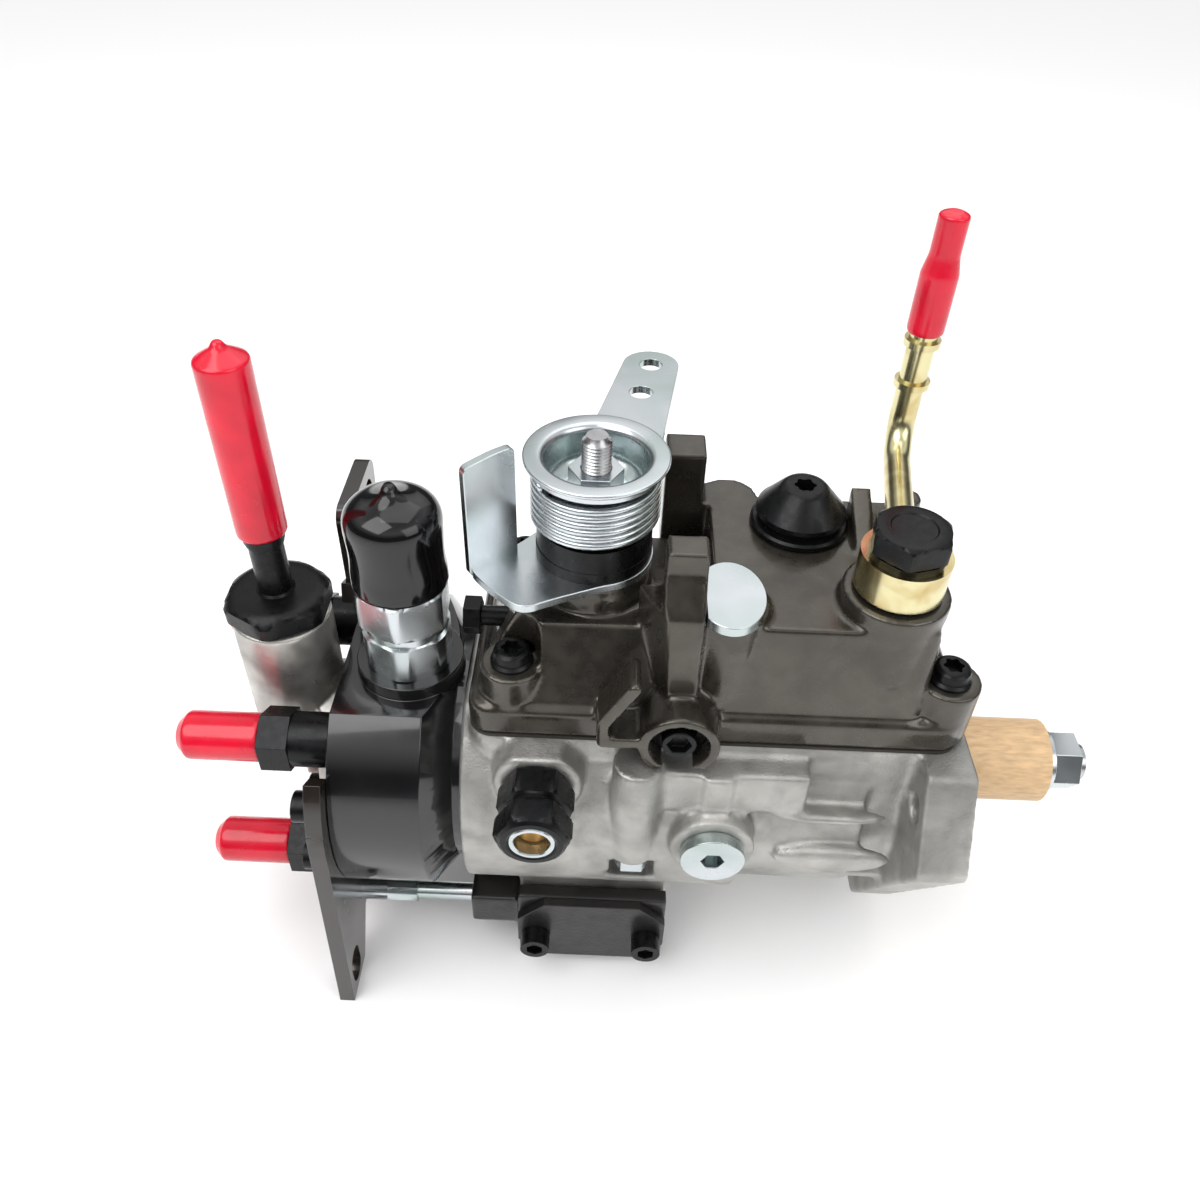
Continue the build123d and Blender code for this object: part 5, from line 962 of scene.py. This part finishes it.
# The studio as polished metal sees it, from the floor up: share of the way up, and grey
ROOM = ((0.0, "5A5C5E"), (0.3, "4A4B4D"), (0.62, "FFFFFF"), (0.9, "C8C8C8"))
ROOM_STRENGTH = 0.95
FLOOR_HALF = 6.0

CAMERA_PLACE = (-106.446, -222.158, 260.092)
CAMERA_TILT = 41.534
CAMERA_ASIDE = -0.335
CAMERA_ROLL = 2.130
CAMERA_LENS = 30.31
CAMERA_SENSOR = 36.0


class PUMP_OT_stage(bpy.types.Operator):
    """Floor, soft studio light and the camera at the photograph's angle"""

    bl_idname = "pump.stage"
    bl_label = "Stage"

    def execute(self, context):
        scene = context.scene
        lay_floor(scene)
        light_room(scene)
        for name, place, turn, size, power in SOFTBOXES:
            lamp = bpy.data.lights.new(name, "AREA")
            lamp.energy = power
            lamp.size = size
            light = bpy.data.objects.new(name, lamp)
            light.location = place
            light.rotation_euler = turn
            scene.collection.objects.link(light)
        add_camera(scene)
        scene.view_settings.view_transform = "Standard"
        return {"FINISHED"}


def lay_floor(scene):
    """A wide sheet of white paper at the pump's lowest point: matt, with no reflection."""
    shape = bmesh.new()
    bmesh.ops.create_grid(shape, x_segments=1, y_segments=1, size=FLOOR_HALF)
    bmesh.ops.translate(shape, verts=shape.verts, vec=(0, 0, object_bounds()[0].z))
    mesh = bpy.data.meshes.new("Floor")
    shape.to_mesh(mesh)
    shape.free()
    floor = bpy.data.objects.new("Floor", mesh)
    scene.collection.objects.link(floor)
    paper = surface("White_paper", {"Base Color": hex_colour(scene.pump_colours.paper),
                                    "Roughness": 0.75, "Specular IOR Level": 0.0})[0]
    mesh.materials.append(paper)
    floor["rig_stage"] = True


def light_room(scene):
    """White all round for plain light, but a studio's darker sides in reflections."""
    world = bpy.data.worlds.new("Studio")
    scene.world = world
    world.use_nodes = True
    tree = world.node_tree
    plain = tree.nodes["Background"]
    plain.inputs["Color"].default_value = hex_colour("FFFFFF")
    plain.inputs["Strength"].default_value = ROOM_STRENGTH
    way = add_node(tree, "ShaderNodeTexCoord")
    level = add_node(tree, "ShaderNodeSeparateXYZ", None, {"Vector": (way, "Generated")})
    room = ramp(tree, level, [(place, hex_colour(grey)) for place, grey in ROOM], "Z")
    seen = add_node(tree, "ShaderNodeBackground", {"Strength": ROOM_STRENGTH}, {"Color": (room, "Color")})
    ray = add_node(tree, "ShaderNodeLightPath")
    both = add_node(tree, "ShaderNodeMixShader", None, {
        "Fac": (ray, "Is Glossy Ray"), 1: (plain, "Background"), 2: (seen, "Background")})
    tree.links.new(both.outputs["Shader"], tree.nodes["World Output"].inputs["Surface"])


def add_camera(scene):
    """The camera of the photograph: place, direction and slight roll."""
    tilt, aside, roll = radians(CAMERA_TILT), radians(CAMERA_ASIDE), radians(CAMERA_ROLL)
    forward = Vector((sin(aside) * cos(tilt), cos(aside) * cos(tilt), -sin(tilt)))
    level = Vector((cos(aside), -sin(aside), 0))
    below = forward.cross(level)
    right = cos(roll) * level - sin(roll) * below
    up = -(sin(roll) * level + cos(roll) * below)
    lens = bpy.data.cameras.new("Photograph")
    lens.sensor_width = CAMERA_SENSOR
    lens.lens = CAMERA_LENS
    lens.clip_start = 0.01
    camera = bpy.data.objects.new("Photograph", lens)
    turn = Matrix((right, up, -forward)).transposed()
    camera.matrix_world = Matrix.Translation(Vector(CAMERA_PLACE) * MM) @ turn.to_4x4()
    scene.collection.objects.link(camera)
    scene.camera = camera


class PUMP_PT_panel(bpy.types.Panel):
    """Lists the pump's operators, sizes and colours in the sidebar"""

    bl_idname = "PUMP_PT_panel"
    bl_label = "Diesel Injection Pump"
    bl_space_type = "VIEW_3D"
    bl_region_type = "UI"
    bl_category = "Pump"

    def draw(self, context):
        for operator in OPERATORS:
            self.layout.operator(operator.bl_idname)
        for group in (context.scene.pump_sizes, context.scene.pump_colours):
            for name in group.bl_rna.properties.keys():
                if name not in ("rna_type", "name"):
                    self.layout.prop(group, name)


OPERATORS = (PUMP_OT_finishes, PUMP_OT_castings, PUMP_OT_machined, PUMP_OT_throttle,
             PUMP_OT_caps, PUMP_OT_fasteners, PUMP_OT_nuts, PUMP_OT_stage)
CLASSES = (PumpSizes, PumpColours, *OPERATORS, PUMP_PT_panel)


def register():
    for item in CLASSES:
        bpy.utils.register_class(item)
    bpy.types.Scene.pump_sizes = bpy.props.PointerProperty(type=PumpSizes)
    bpy.types.Scene.pump_colours = bpy.props.PointerProperty(type=PumpColours)


def unregister():
    del bpy.types.Scene.pump_colours
    del bpy.types.Scene.pump_sizes
    for item in reversed(CLASSES):
        bpy.utils.unregister_class(item)


def main():
    register()
    for operator in OPERATORS:
        group, name = operator.bl_idname.split(".")
        getattr(getattr(bpy.ops, group), name)()


if __name__ == "__main__":
    main()
